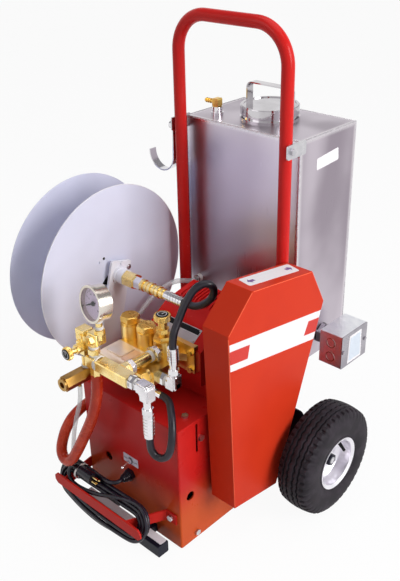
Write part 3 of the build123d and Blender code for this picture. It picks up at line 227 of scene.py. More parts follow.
# %% Rubber and tube finishes
def rubber(name, dark, light, rough, shine=0.3, grain=900.0):
    """Rubber or soft plastic with a dusty bloom."""
    finish = Finish(name)
    bloom = finish.noise(35.0, 3.0)
    fine = finish.noise(grain, 1.0)
    finish.set(Base_Color=finish.blend(finish.between(bloom, 0.35, 0.75), dark, light))
    finish.set(Roughness=rough + 0.18 * (bloom - 0.5), Normal=finish.bump(fine, 0.0002, 0.5))
    finish.set(Specular_IOR_Level=shine)
    return finish.material


hose_black = rubber("hose_black", (0.010, 0.008, 0.013), (0.024, 0.019, 0.028), 0.32, 0.35)
cord_black = rubber("cord_black", (0.008, 0.006, 0.014), (0.018, 0.014, 0.026), 0.24, 0.35)
hose_red = rubber("hose_red", (0.46, 0.030, 0.010), (0.58, 0.060, 0.020), 0.26, 0.25)


def clear_plastic(name, colour, alpha):
    """Clear tube: a bright skin over what is behind it."""
    finish = Finish(name, Base_Color=colour, Alpha=alpha, Specular_IOR_Level=0.7)
    haze = finish.noise(60.0, 2.0)
    finish.set(Roughness=0.12 + 0.14 * haze)
    return finish.material


tube_clear = clear_plastic("tube_clear", (0.72, 0.74, 0.76), 0.42)


def white_plastic(name, colour=(0.80, 0.79, 0.77)):
    """Moulded white plastic with faint yellowing."""
    finish = Finish(name)
    cast = finish.noise(50.0, 2.0)
    warm = tuple(c * k for c, k in zip(colour, (0.93, 0.90, 0.84)))
    finish.set(Base_Color=finish.blend(finish.between(cast, 0.4, 0.8), colour, warm))
    finish.set(Roughness=0.35 + 0.15 * cast)
    return finish.material


nylon_white = white_plastic("nylon_white")
print("soft finishes", [m.name for m in (hose_black, cord_black, hose_red, tube_clear, nylon_white)])

# %% [markdown]
# ## Hoses and the power cord
# A hose is a fixed length of something springy, so each is one smooth spline through its route. A
# quadratic spline with its ends fixed passes close to the route and never kinks. The power cord runs
# from its gland into a hank wound round the bracket: the turns are more points of the same spline,
# five turns in two layers, each with its own size at each end, and slack where they hang below.

# %% Spline helper
def laid(name, points, thickness, finish, body="machine"):
    """A round cord along one open spline; each knot's radius is the cord's own."""
    line = bpy.data.curves.new(name, "CURVE")
    line.dimensions = "3D"
    line.resolution_u = 6
    line.bevel_depth = 1.0
    line.bevel_resolution = 4
    line.use_fill_caps = True
    spline = line.splines.new("NURBS")
    spline.points.add(len(points) - 1)
    for knot, point in zip(spline.points, points):
        knot.co = (*point, 1.0)
        knot.radius = thickness / 2
    spline.order_u = 3
    spline.use_endpoint_u = True
    line.materials.append(finish)
    piece = link(bpy.data.objects.new(name, line))
    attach(piece, body)
    return piece


def spline_length(piece):
    """Length of a spline's own line, without its thickness."""
    line = piece.data
    kept = line.bevel_depth
    line.bevel_depth = 0.0
    mesh = bpy.data.meshes.new_from_object(piece.evaluated_get(bpy.context.evaluated_depsgraph_get()))
    line.bevel_depth = kept
    points = [v.co.copy() for v in mesh.vertices]
    bpy.data.meshes.remove(mesh)
    return sum((b - a).length for a, b in zip(points, points[1:]))


# %% Routes of the hoses
HOSE, INLET, CLEAR, DRAIN, CORD = 0.016, 0.025, 0.012, 0.010, 0.0095
pressure_route = [
    (0.0340, -0.0830, 0.5150), (0.0580, -0.0830, 0.5150), (0.0810, -0.0820, 0.5240),
    (0.1010, -0.0810, 0.5400), (0.1150, -0.0810, 0.5560), (0.1235, -0.0840, 0.5770),
    (0.1200, -0.0930, 0.5930), (0.1090, -0.1070, 0.5940), (0.0990, -0.1230, 0.5800),
    (0.0955, -0.1420, 0.5560), (0.0960, -0.1610, 0.5280), (0.0990, -0.1818, 0.5041),
    (0.0990, -0.1818, 0.4781),
]
bypass_route = [
    (0.1090, -0.2660, 0.3111), (0.1090, -0.2660, 0.2931), (0.1105, -0.2650, 0.2770),
    (0.1190, -0.2620, 0.2640), (0.1330, -0.2570, 0.2620), (0.1450, -0.2520, 0.2720),
    (0.1490, -0.2465, 0.2900), (0.1470, -0.2400, 0.3130), (0.1390, -0.2300, 0.3350),
    (0.1210, -0.2150, 0.3520), (0.0960, -0.1958, 0.3581), (0.0760, -0.1958, 0.3581),
]
inlet_route = [
    (-0.0460, -0.2660, 0.3911), (-0.0460, -0.2660, 0.3601), (-0.0510, -0.2700, 0.3200),
    (-0.0630, -0.2760, 0.2740), (-0.0830, -0.2860, 0.2240), (-0.1060, -0.2960, 0.1700),
    (-0.1225, -0.3010, 0.1440), (-0.1372, -0.3025, 0.1355), (-0.1530, -0.3005, 0.1377),
    (-0.1643, -0.2955, 0.1490), (-0.1678, -0.2870, 0.1687), (-0.1705, -0.2715, 0.1930),
    (-0.1730, -0.2470, 0.2130),
    (-0.1750, -0.2070, 0.2240), (-0.1770, -0.1470, 0.2270), (-0.1780, -0.0830, 0.2300),
    (-0.1790, -0.0190, 0.2350), (-0.1800, 0.0410, 0.2430), (-0.1780, 0.0910, 0.2500),
    (-0.1740, 0.1350, 0.2560), (-0.1520, 0.1690, 0.2580), (-0.1280, 0.1810, 0.2580),
    (-0.1140, 0.1810, 0.2580),
]
return_route = [
    (-0.1240, 0.1210, 0.4410), (-0.1240, 0.1030, 0.4410), (-0.1280, 0.0820, 0.4500),
    (-0.1370, 0.0580, 0.4540), (-0.1460, 0.0290, 0.4470), (-0.1510, -0.0030, 0.4310),
    (-0.1500, -0.0360, 0.4120), (-0.1440, -0.0680, 0.3970), (-0.1330, -0.0960, 0.3881),
    (-0.1180, -0.1108, 0.3881), (-0.1040, -0.1108, 0.3881),
]
drain_route = [
    (-0.0800, -0.2860, 0.3581), (-0.0800, -0.2860, 0.3381), (-0.0900, -0.2860, 0.3000),
    (-0.1060, -0.2850, 0.2620), (-0.1210, -0.2840, 0.2220), (-0.1310, -0.2820, 0.1820),
    (-0.1400, -0.2800, 0.1520),
]

print("routes", [len(r) for r in (pressure_route, bypass_route, inlet_route, return_route, drain_route)])

# %% Lay the hoses
hoses = [
    ("pressure_hose", pressure_route, HOSE, hose_black, "object", "stiff", "loose"),
    ("bypass_hose", bypass_route, HOSE, hose_black, "object", "stiff", "hanging"),
    ("inlet_hose", inlet_route, INLET, hose_red, "object", "medium", "hanging"),
    ("return_tube", return_route, CLEAR, tube_clear, "object", "medium", "hanging"),
    ("drain_tube", drain_route, DRAIN, tube_clear, "bare", "medium", "hanging"),
]
for node, route, thickness, finish, far_end, stiffness, lay in hoses:
    hose = laid(node + "_line", route, thickness, finish)
    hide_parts(node)
    length = spline_length(hose)
    print(hose.name, "length", round(length, 3))

# %% Places on the hank
HANK_TILT = math.radians(68)
HANK_MIDDLE = spot(0, -399, 76)
HANK_LEFT, HANK_RIGHT, HANK_LIFT = -138.0, 72.0, 4.0
REAR, FRONT = -4.75, 4.75
# each turn: radius and layer at its left end, the same at its right end, lowest point of its slack run
HANK_TURNS = [
    (41.9, REAR, 36.6, REAR, -53.0), (32.3, REAR, 27.0, REAR, -34.0), (22.7, REAR, 21.5, FRONT, -22.0),
    (18.5, FRONT, 31.1, FRONT, -31.0), (28.1, FRONT, 40.7, FRONT, -43.0),
]
END_STEPS = 6
cord_start = [spot(-5, -358.5, 126), spot(-5, -367.5, 126), spot(-9, -375.5, 125.5), spot(-17, -381, 124.5),
              spot(-29, -383, 123.5), spot(-44, -382.5, 122.5)]
lead_in = [(-62, 47.5, -1.5), (-80, 45.9, REAR)]
lead_out = [(44, 43.5, 8), (14, 35, 13), (-18, 23, 14.5), (-50, 12, 14.5), (-84, 6, 15), (-106, 4.5, 15.5),
            (-124, 7.5, 16), (-135, 18, 16.5), (-136.5, 33, 16.5), (-128, 43.5, 16.5), (-118, 44.5, 16.5)]


def on_hank(x, up, across):
    """Millimetres along the bracket, up its leaning plane and out of it, as a point in the frame."""
    y = up * math.cos(HANK_TILT) - across * math.sin(HANK_TILT)
    z = up * math.sin(HANK_TILT) + across * math.cos(HANK_TILT)
    return HANK_MIDDLE + Vector((x, y, z)) / 1000


def hank_end(middle, radius, across, start, stop):
    """Half a turn about one end of the bracket; the knots stand a little out so that the line doesn't."""
    out = radius / math.cos(math.pi / 2 / END_STEPS)
    points = []
    for step in range(END_STEPS + 1):
        angle = math.radians(start + (stop - start) * step / END_STEPS)
        points.append(on_hank(middle + out * math.cos(angle), HANK_LIFT + out * math.sin(angle), across))
    return points


def hank_turn(left, left_layer, right, right_layer, lowest):
    """Left end downwards, the slack lower run, right end upwards."""
    points = hank_end(HANK_LEFT, left, left_layer, 90, 270)
    for x, share, end in ((-92, 0.3, left), (-33, 0.0, left), (24, 0.3, right)):
        points.append(on_hank(x, share * (HANK_LIFT - end) + (1 - share) * lowest, left_layer))
    return points + hank_end(HANK_RIGHT, right, right_layer, -90, 90)


print("turns of the hank", len(HANK_TURNS))

# %% Wind the power cord
cord_route = cord_start + [on_hank(*p) for p in lead_in]
for turn_index, row in enumerate(HANK_TURNS):
    if turn_index:
        before = HANK_TURNS[turn_index - 1]
        for x, share in ((20, 0.25), (-33, 0.5), (-86, 0.75)):
            up = HANK_LIFT + before[2] * (1 - share) + row[0] * share
            cord_route.append(on_hank(x, up, row[1]))
    cord_route += hank_turn(*row)
cord_route += [on_hank(*p) for p in lead_out]
cord = laid("power_cord_line", cord_route, CORD, cord_black)
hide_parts("power_cord", "cord_hank")
cord_length = spline_length(cord)
print("power cord length", round(cord_length, 3), "points", len(cord_route))

# %% [markdown]
# ## Paint
# The truck is sprayed in a strong red enamel that has lost most of its gloss. Sprayed paint is never
# quite flat, so a very shallow noise bends its reflections, dust dulls it towards the floor, and small
# rubbed spots show a paler, rougher red. A weak specular level keeps the red deep: with a strong one
# the pale surroundings would turn it pink.

# %% Paint finishes
def enamel(name, colour, deep, rubbed, rough, shine=0.07, peel=0.00004):
    """Sprayed paint with a shallow orange-peel skin and small rubbed spots."""
    finish = Finish(name, Specular_IOR_Level=shine)
    tone = finish.between(finish.noise(7.0, 2.0), 0.3, 0.7)
    spots = finish.between(finish.noise(130.0, 4.0, 0.6), 0.68, 0.76)
    dust = finish.between(finish.axis("Z"), 0.02, 0.35, 0.12, 0.0) * finish.noise(24.0, 4.0)
    finish.set(Base_Color=finish.blend(spots * 0.6, finish.blend(tone, colour, deep), rubbed))
    uneven = 0.10 * (finish.noise(18.0, 3.0) - 0.5)
    finish.set(Roughness=rough + uneven + dust + 0.2 * spots)
    finish.set(Normal=finish.bump(finish.noise(420.0, 1.0), peel, 0.6))
    return finish.material


paint_red = enamel("paint_red", (0.62, 0.018, 0.015), (0.54, 0.013, 0.012),
                   (0.66, 0.07, 0.05), 0.20, 0.13)
paint_guard = enamel("paint_guard", (0.58, 0.036, 0.011), (0.54, 0.031, 0.010), (0.64, 0.08, 0.04), 0.34)
# painted highlight: the paler red of the beads along the guard's folded edges
paint_edge_highlight = enamel("paint_edge_highlight", (0.80, 0.13, 0.06), (0.74, 0.10, 0.05), (0.85, 0.25, 0.16), 0.30)
paint_bracket = enamel("paint_bracket", (0.58, 0.022, 0.014), (0.50, 0.016, 0.012),
                       (0.60, 0.06, 0.04), 0.32)
paint_black = enamel("paint_black", (0.006, 0.006, 0.016), (0.010, 0.010, 0.022),
                     (0.03, 0.03, 0.04), 0.34, 0.15)
paint_grey = enamel("paint_grey", (0.74, 0.75, 0.90), (0.67, 0.68, 0.82),
                    (0.62, 0.62, 0.72), 0.34, 0.4, 0.00006)
paint_pale = enamel("paint_pale", (0.84, 0.83, 0.90), (0.78, 0.77, 0.84), (0.66, 0.64, 0.68), 0.36, 0.4)


print("sprayed finishes", [m.name for m in (paint_red, paint_guard, paint_edge_highlight, paint_bracket, paint_black)])


# %% The base's paint
def base_enamel():
    """The base's red, with a painted reflection of the floor that warms it to a browned orange low down."""
    finish = Finish("paint_base", Specular_IOR_Level=0.10)
    tone = finish.between(finish.noise(6.0, 2.0), 0.3, 0.7)
    # painted reflection: below about 0.2 m the red blends towards the floor's browned orange
    low = finish.between(finish.axis("Z") + 0.05 * finish.noise(9.0, 2.0), 0.09, 0.21, 1.0, 0.0)
    red = finish.blend(tone, (0.54, 0.015, 0.012), (0.44, 0.010, 0.010))
    finish.set(Base_Color=finish.blend(low * 0.7, red, (0.60, 0.110, 0.016)))
    finish.set(Roughness=0.24 + 0.10 * finish.noise(18.0, 3.0))
    finish.set(Normal=finish.bump(finish.noise(420.0, 1.0), 0.00004, 0.6))
    return finish.material


paint_base = base_enamel()
print("base paint", len(paint_base.node_tree.nodes), "nodes")

# %% [markdown]
# ## Metals
# Each metal is a full metallic skin whose colour is what it reflects. What tells them apart is how
# the surface was worked: the tank's sheet is brushed and a little wavy, brass is cast and then turned,
# zinc is mottled, chrome is plain and bright. Noise stretched along the brushing makes the grain.

# %% Metal finishes
def metal(name, colour, second, rough, spread, scale=40.0, depth=0.00003):
    """Worked metal: mottled colour, uneven roughness and a fine grain."""
    finish = Finish(name, Metallic=1.0)
    mottle = finish.noise(scale, 3.0)
    grain = finish.noise(scale * 9, 2.0)
    finish.set(Base_Color=finish.blend(finish.between(mottle, 0.3, 0.7), colour, second))
    finish.set(Roughness=rough + spread * (grain - 0.5) + spread * (mottle - 0.5))
    finish.set(Normal=finish.bump(grain, depth, 0.35))
    return finish.material


brass = metal("brass", (0.93, 0.64, 0.20), (0.86, 0.55, 0.14), 0.28, 0.08, 30.0, 0.00001)
brass_pale = metal("brass_pale", (0.96, 0.78, 0.38), (0.90, 0.66, 0.25), 0.26, 0.08, 34.0, 0.00001)
brass_dark = metal("brass_dark", (0.50, 0.30, 0.10), (0.40, 0.23, 0.06), 0.30, 0.10, 30.0, 0.00001)
cap_steel = metal("cap_steel", (0.62, 0.60, 0.62), (0.50, 0.48, 0.50), 0.10, 0.06, 20.0)
chrome = metal("chrome", (0.80, 0.79, 0.81), (0.72, 0.71, 0.73), 0.12, 0.08, 30.0)
zinc = metal("zinc", (0.66, 0.65, 0.67), (0.55, 0.54, 0.57), 0.30, 0.16, 55.0)
galvanised = metal("galvanised", (0.44, 0.42, 0.46), (0.36, 0.34, 0.38), 0.30, 0.12, 26.0, 0.00001)
gauge_steel = metal("gauge_steel", (0.74, 0.69, 0.62), (0.66, 0.60, 0.52), 0.20, 0.06, 20.0, 0.00001)
steel_dark = metal("steel_dark", (0.16, 0.16, 0.17), (0.10, 0.10, 0.11), 0.45, 0.20)
rim_silver = metal("rim_silver", (0.92, 0.90, 0.94), (0.82, 0.80, 0.85), 0.32, 0.14, 25.0)


print("worked metals", [m.name for m in (brass, cap_steel, chrome, zinc, galvanised, rim_silver)])


# %% Cast brass of the pump head
def head_casting():
    """The pump head: cast brass, with a rosy milled face on top of its chamber."""
    finish = Finish("head_casting", Metallic=1.0)
    mottle = finish.noise(26.0, 3.0)
    grain = finish.noise(260.0, 2.0)
    gold = finish.blend(finish.between(mottle, 0.3, 0.7), (0.93, 0.68, 0.26), (0.87, 0.58, 0.17))
    milled = finish.between(finish.axis("Z"), 0.398, 0.404)
    milled = milled * finish.between(finish.axis("Z"), 0.4125, 0.4135, 1.0, 0.0)
    milled = milled * finish.between(finish.axis("X"), -0.012, -0.006, 1.0, 0.0)
    milled = milled * finish.between(finish.axis("Y"), -0.163, -0.160, 1.0, 0.0)
    finish.set(Base_Color=finish.blend(milled, gold, (1.0, 0.83, 0.68)), Metallic=1 - 0.6 * milled)
    finish.set(Roughness=0.30 + 0.08 * (grain - 0.5) + 0.08 * (mottle - 0.5))
    finish.set(Normal=finish.bump(grain, 0.00001, 0.4))
    return finish.material


brass_head = head_casting()
print("pump head", len(brass_head.node_tree.nodes), "nodes")


# %% Sheet of the terminal box
def box_sheet():
    """Galvanised sheet of the terminal box: bright, with its front face painted dark brown as the shaded
    reflection of the red guard.
    """
    finish = Finish("box_sheet", Metallic=1.0)
    spangle = finish.noise(60.0, 2.0)
    bright = finish.blend(finish.between(spangle, 0.3, 0.7), (0.96, 0.97, 1.0), (0.88, 0.89, 0.94))
    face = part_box("terminal_box")[0].y
    # painted shade and reflection: the whole front face turns dark brown and less metallic
    front_reflection = finish.between(finish.axis("Y"), face + 0.0004, face + 0.0008, 1.0, 0.0)
    finish.set(Base_Color=finish.blend(front_reflection, bright, (0.22, 0.11, 0.06)), Metallic=1 - 0.5 * front_reflection)
    finish.set(Roughness=0.34 + 0.10 * (spangle - 0.5))
    return finish.material


box_bright = box_sheet()
print("terminal box", len(box_bright.node_tree.nodes), "nodes")


# %% Sheet of the tank
def tank_sheet():
    """Brushed stainless sheet with soft upright bands of painted reflection, brighter beside its welds, wavy
    between them.
    """
    finish = Finish("tank_sheet", Metallic=1.0)
    half_x, middle_y, half_y, top = 0.15885, 0.235, 0.098, 0.833
    edge_x = half_x - abs(finish.axis("X"))
    edge_y = half_y - abs(finish.axis("Y") - middle_y)
    edge_z = top - finish.axis("Z")
    # on each face one distance is zero, so an edge is where the two smallest are both small
    near = finish.between(edge_x + edge_y, 0.002, 0.012, 1.0, 0.0)
    near = near.math("MAXIMUM", finish.between(edge_x + edge_z, 0.002, 0.012, 1.0, 0.0))
    near = near.math("MAXIMUM", finish.between(edge_y + edge_z, 0.002, 0.012, 1.0, 0.0))
    streak = finish.noise(1.0, 3.0, stretch=(420.0, 420.0, 7.0))
    # the upright bands are painted reflections, dark and bright, fixed on the sheet
    bands = finish.noise(1.0, 1.0, stretch=(7.0, 7.0, 1.8))
    cloud = finish.noise(4.0, 3.0)
    tone = finish.between(bands + 0.5 * (cloud - 0.5), 0.36, 0.66)
    painted_reflection = finish.blend(tone, (0.34, 0.29, 0.34), (0.58, 0.52, 0.58))
    # painted reflection: the front is brighter than the rest, except towards its left edge
    front = finish.between(finish.axis("Y"), 0.1375, 0.1385, 1.0, 0.0)
    front = front * finish.between(finish.axis("X"), -0.13, -0.03)
    painted_reflection = finish.blend(front * 0.45, painted_reflection, (0.80, 0.72, 0.80))
    finish.set(Base_Color=finish.blend(near * 0.8, painted_reflection, (0.76, 0.72, 0.75)))
    finish.set(Roughness=0.30 + 0.08 * (streak - 0.5) + 0.10 * (cloud - 0.5) - 0.05 * near)
    waves = finish.noise(1.0, 1.0, stretch=(6.0, 6.0, 2.4))
    grain = finish.bump(streak, 0.00002, 0.25)
    sheet = {"Height": waves, "Strength": 0.35, "Distance": 0.004, "Normal": grain}
    finish.set(Normal=finish.node("Bump", None, sheet))
    return finish.material


stainless = tank_sheet()
print("tank", len(stainless.node_tree.nodes), "nodes")

# %% [markdown]
# ## Small finishes
# Labels, the dial, the knobs and the words are plain printed or moulded surfaces. A single colour
# would look like card, so a fine noise shades each by an eighth and roughens it a little. One helper
# serves them all, because only the colour and the gloss differ.

# %% Small finishes
def moulded(name, colour, rough):
    """Moulded plastic or a printed plate."""
    finish = Finish(name, Specular_IOR_Level=0.15)
    fine = finish.noise(300.0, 2.0)
    shade = tuple(0.88 * c for c in colour)
    finish.set(Base_Color=finish.blend(fine, colour, shade), Roughness=rough + 0.1 * (fine - 0.5))
    return finish.material


plastic_black = moulded("plastic_black", (0.012, 0.012, 0.013), 0.30)
label_white = moulded("label_white", (0.84, 0.82, 0.84), 0.42)
label_red = moulded("label_red", (0.62, 0.045, 0.035), 0.40)
label_silver = moulded("label_silver", (0.62, 0.58, 0.62), 0.30)
label_blue = moulded("label_blue", (0.62, 0.68, 0.76), 0.42)
plate_lilac = moulded("plate_lilac", (0.70, 0.66, 0.76), 0.38)
# painted light: the dial is lighter than its own lilac, to make up for the shade it sits in
dial_lilac_lightened = moulded("dial_lilac_lightened", (0.95, 0.79, 1.0), 0.45)
ink_black = moulded("ink_black", (0.010, 0.010, 0.012), 0.5)
ink_pink = moulded("ink_pink", (0.70, 0.16, 0.22), 0.5)
ink_purple = moulded("ink_purple", (0.20, 0.10, 0.28), 0.5)
strip_grey = moulded("strip_grey", (0.80, 0.78, 0.82), 0.55)
tape_white = moulded("tape_white", (0.84, 0.81, 0.78), 0.62)
print("plain finishes", sum(1 for m in bpy.data.materials if m.use_nodes), "materials so far")

# %% [markdown]
# ## Dress the solids
# A solid whose shape is right only needs its finish. Setting each by hand would hide what belongs
# together, so one table lists the solids of every finish by name, and a loop fills their slots.

# %% Finishes of the solids
dressing = {
    paint_red: "handle_frame pump_crankcase pump_rails tank_shelf",
    paint_base: "base_box base_floor",
    paint_guard: "belt_guard",
    paint_bracket: "cord_bracket",
    paint_black: "back_plate foot_bar axle_nuts",
    paint_grey: "reel_flanges reel_drum",
    paint_pale: "reel_arm reel_bearing",
    stainless: "tank_shell",
    zinc: "axle frame_bolts tank_brackets wheel_bearings_left wheel_bearings_right",
    galvanised: "terminal_cover heater_element",
    box_bright: "terminal_box",
    gauge_steel: "gauge_case",
    chrome: "hose_hook hose_fittings switch_lever",
    cap_steel: "filler_neck filler_cap",
    brass_head: "pump_head",
    brass: "vent_elbow valve_caps pulse_knob regulator_knob",
    brass_dark: "relief_valve",
    brass_pale: "manifold reel_swivel",
    steel_dark: "motor_housing motor_rotor motor_pulley pump_pulley pump_crankshaft",
    rim_silver: "rim_left rim_right",
    hose_black: "cap_gasket drive_belt tyre_left tyre_right",
    cord_black: "strain_relief power_plug",
    plate_lilac: "switch_plate",
    plastic_black: "gauge_needle",
}
for finish, names in dressing.items():
    for name in names.split():
        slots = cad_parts[name].data.materials
        slots.clear()
        slots.append(finish)
print("dressed", sum(len(n.split()) for n in dressing.values()), "solids")

# %% [markdown]
# ## Mesh helpers
# Small pieces are made from three moves: a flat outline given a thickness, a profile turned about an
# axis, and a section carried along a path. Each helper makes the mesh, gives it a finish and lets it
# ride on a body of the machine.

# %% Plates and turned pieces
def piece_from(name, mesh, finish, body, smooth=True):
    """Wraps a bmesh as a dressed piece that rides on a body."""
    data = bpy.data.meshes.new(name)
    bmesh.ops.recalc_face_normals(mesh, faces=mesh.faces)
    mesh.to_mesh(data)
    mesh.free()
    data.materials.append(finish)
    if smooth:
        data.shade_smooth()
        data.set_sharp_from_angle(angle=math.radians(38))
    made = link(bpy.data.objects.new(name, data))
    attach(made, body)
    return made


def plate(name, outline, thickness, place, finish, body="machine", bevel=0.0):
    """A flat outline in its own X and Y, thickened along +Z, put at a place."""
    mesh = bmesh.new()
    low = [mesh.verts.new((x, y, 0)) for x, y in outline]
    face = mesh.faces.new(low)
    grown = bmesh.ops.extrude_face_region(mesh, geom=[face])
    high = {v for v in grown["geom"] if isinstance(v, bmesh.types.BMVert)}
    bmesh.ops.translate(mesh, verts=list(high), vec=(0, 0, thickness))
    if bevel:
        rim = [e for e in mesh.edges if e.verts[0] in high and e.verts[1] in high]
        bmesh.ops.bevel(mesh, geom=rim, offset=bevel, segments=2, affect="EDGES")
    bmesh.ops.transform(mesh, matrix=place, verts=mesh.verts)
    return piece_from(name, mesh, finish, body, smooth=bool(bevel))


def forged(name, outline, depth, place, finish, bevel, body="machine"):
    """A flat outline thickened to both sides of its plane, every edge rounded."""
    mesh = bmesh.new()
    face = mesh.faces.new([mesh.verts.new((x, y, -depth / 2)) for x, y in outline])
    grown = bmesh.ops.extrude_face_region(mesh, geom=[face])
    high = [v for v in grown["geom"] if isinstance(v, bmesh.types.BMVert)]
    bmesh.ops.translate(mesh, verts=high, vec=(0, 0, depth))
    bmesh.ops.bevel(mesh, geom=mesh.edges[:], offset=bevel, segments=3, affect="EDGES")
    bmesh.ops.transform(mesh, matrix=place, verts=mesh.verts)
    return piece_from(name, mesh, finish, body)


def turned(name, profile, place, finish, body="machine", steps=48):
    """A closed profile of (along, radius) points turned about its own Z axis."""
    mesh = bmesh.new()
    rings = []
    for step in range(steps):
        angle = 2 * math.pi * step / steps
        rings.append([mesh.verts.new((r * math.cos(angle), r * math.sin(angle), z)) for z, r in profile])
    for a, b in zip(rings, rings[1:] + rings[:1]):
        for i in range(len(profile)):
            j = (i + 1) % len(profile)
            mesh.faces.new((a[i], a[j], b[j], b[i]))
    bmesh.ops.remove_doubles(mesh, verts=mesh.verts, dist=1e-7)
    bmesh.ops.transform(mesh, matrix=place, verts=mesh.verts)
    return piece_from(name, mesh, finish, body)


# %% Places and outlines
def facing(place, normal, up=(0, 0, 1)):
    """Matrix whose Z looks along normal and whose Y is as near to up as it can be."""
    z = Vector(normal).normalized()
    x = Vector(up).cross(z).normalized()
    y = z.cross(x)
    turn = Matrix((x, y, z)).transposed().to_4x4()
    return Matrix.Translation(place) @ turn


def rectangle(width, height):
    """Corners of a rectangle about its middle."""
    x, y = width / 2, height / 2
    return [(-x, -y), (x, -y), (x, y), (-x, y)]


def polygon(count, radius, start=0.0):
    """Corners of a regular polygon."""
    angles = [start + 2 * math.pi * step / count for step in range(count)]
    return [(radius * math.cos(a), radius * math.sin(a)) for a in angles]


def softened(corners, radius, steps=4):
    """An outline with its corners rounded off by about a radius."""
    outline = []
    count = len(corners)
    for index, corner in enumerate(corners):
        here = Vector(corner)
        before = here + (Vector(corners[index - 1]) - here).normalized() * radius
        after = here + (Vector(corners[(index + 1) % count]) - here).normalized() * radius
        for step in range(steps + 1):
            t = step / steps
            outline.append(tuple(before * (1 - t) ** 2 + here * 2 * t * (1 - t) + after * t ** 2))
    return outline


# %% Labels, characters and beads
def flat_label(name, corners, normal, up, finish, radius=0.002, lift=0.0003, body="machine"):
    """A thin label whose corners are points of the frame on a flat face."""
    middle = sum(corners, Vector()) / len(corners)
    place = facing(middle, normal, up)
    inside = place.inverted()
    outline = softened([tuple((inside @ c).xy) for c in corners], radius)
    return plate(name, outline, lift, place, finish, body)


def words(name, text, size, place, finish, body="machine"):
    """Flat printed characters as a thin mesh."""
    line = bpy.data.curves.new(name, "FONT")
    line.body = text
    line.size = size
    line.align_x, line.align_y = "CENTER", "CENTER"
    line.extrude = 0.00005
    draft = link(bpy.data.objects.new(name + "_draft", line))
    graph = bpy.context.evaluated_depsgraph_get()
    data = bpy.data.meshes.new_from_object(draft.evaluated_get(graph))
    bpy.data.objects.remove(draft)
    data.transform(place)
    data.materials.clear()
    data.materials.append(finish)
    made = link(bpy.data.objects.new(name, data))
    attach(made, body)
    return made


def bead(name, start, end, radius, finish, ripple=0.0, pitch=0.004, sides=8, body="machine"):
    """A thin round bead between two points; ripple swells it once every pitch, as a weld does."""
    start, end = Vector(start), Vector(end)
    run = end - start
    place = facing(start, run, (0.3, 0.5, 0.8))
    count = max(2, round(run.length / pitch * 4)) if ripple else 2
    mesh = bmesh.new()
    rings = []
    for step in range(count + 1):
        along = run.length * step / count
        swell = radius * (1 + ripple * math.cos(2 * math.pi * along / pitch))
        rings.append([mesh.verts.new((x, y, along)) for x, y in polygon(sides, swell)])
    for a, b in zip(rings, rings[1:]):
        for i in range(sides):
            j = (i + 1) % sides
            mesh.faces.new((a[i], a[j], b[j], b[i]))
    mesh.faces.new(rings[0])
    mesh.faces.new(rings[-1])
    bmesh.ops.transform(mesh, matrix=place, verts=mesh.verts)
    return piece_from(name, mesh, finish, body)


print("helpers", [h.__name__ for h in (plate, forged, turned, flat_label, words, bead)])

# %% [markdown]
# ## Tyres
# The tyres have a centre rib with wavy edges, two more ribs and a row of small lugs on each shoulder.
# Tread can't be a bump alone, because it shows on the outline, so the tyre is a grid round the axle
# whose points sink where a groove runs.

# %% Tyres
WHEEL_R, TRACK_HALF = 0.130, 0.2805
TREAD_HALF, TREAD_PITCHES, TYRE_STEPS, CROWN_DROP = 0.033, 44, 352, 0.0042
# each groove: how far from the middle, how far it swings, half its width
GROOVES = ((0.0075, 0.0016, 0.0020), (0.0190, 0.0012, 0.0018))
GROOVE_DEEP, GROOVE_SLOPE = 0.0048, 0.0008
NICK_FROM, NICK_TO, NICK_DEEP = 0.0025, 0.0075, 0.0016
LUG_FROM, LUG_DEEP, LUG_GAP, LUG_SIDE = 0.0235, 0.0040, 0.34, 0.0022


def tyre_profile():
    """(across, radius) points from one bead over the crown to the other."""
    side = [(0.0355, 0.0580), (0.0375, 0.0640), (0.0395, 0.0700), (0.0412, 0.0760), (0.0422, 0.0830),
            (0.0425, 0.0900), (0.0425, 0.0975), (0.0421, 0.1040), (0.0412, 0.1100), (0.0399, 0.1150),
            (0.0382, 0.1190), (0.0362, 0.1222), (0.0340, 0.1245)]
    crown = []
    count = 48
    for step in range(count + 1):
        x = TREAD_HALF * (1 - 2 * step / count)
        crown.append((x, WHEEL_R - CROWN_DROP * (x / TREAD_HALF) ** 2))
    return side + crown + [(-x, r) for x, r in reversed(side)]


def groove(x, turn):
    """Depth of the tread at a place across and round the tyre."""
    pitch = (turn * TREAD_PITCHES) % 1.0
    wave = abs(2 * pitch - 1) * 2 - 1
    depth = 0.0
    for line, swing, width in GROOVES:
        offset = abs(abs(x) - line - swing * wave * (1 if x > 0 else -1))
        depth = max(depth, GROOVE_DEEP * min(1.0, max(0.0, (width - offset) / GROOVE_SLOPE)))
    if NICK_FROM < abs(x) < NICK_TO and 0.35 < pitch < 0.5:
        depth = max(depth, NICK_DEEP * min(1.0, (abs(x) - NICK_FROM) / 0.001))
    if abs(x) > LUG_FROM and pitch < LUG_GAP:
        depth = max(depth, LUG_DEEP * min(1.0, (abs(x) - LUG_FROM) / 0.0015))
    return depth


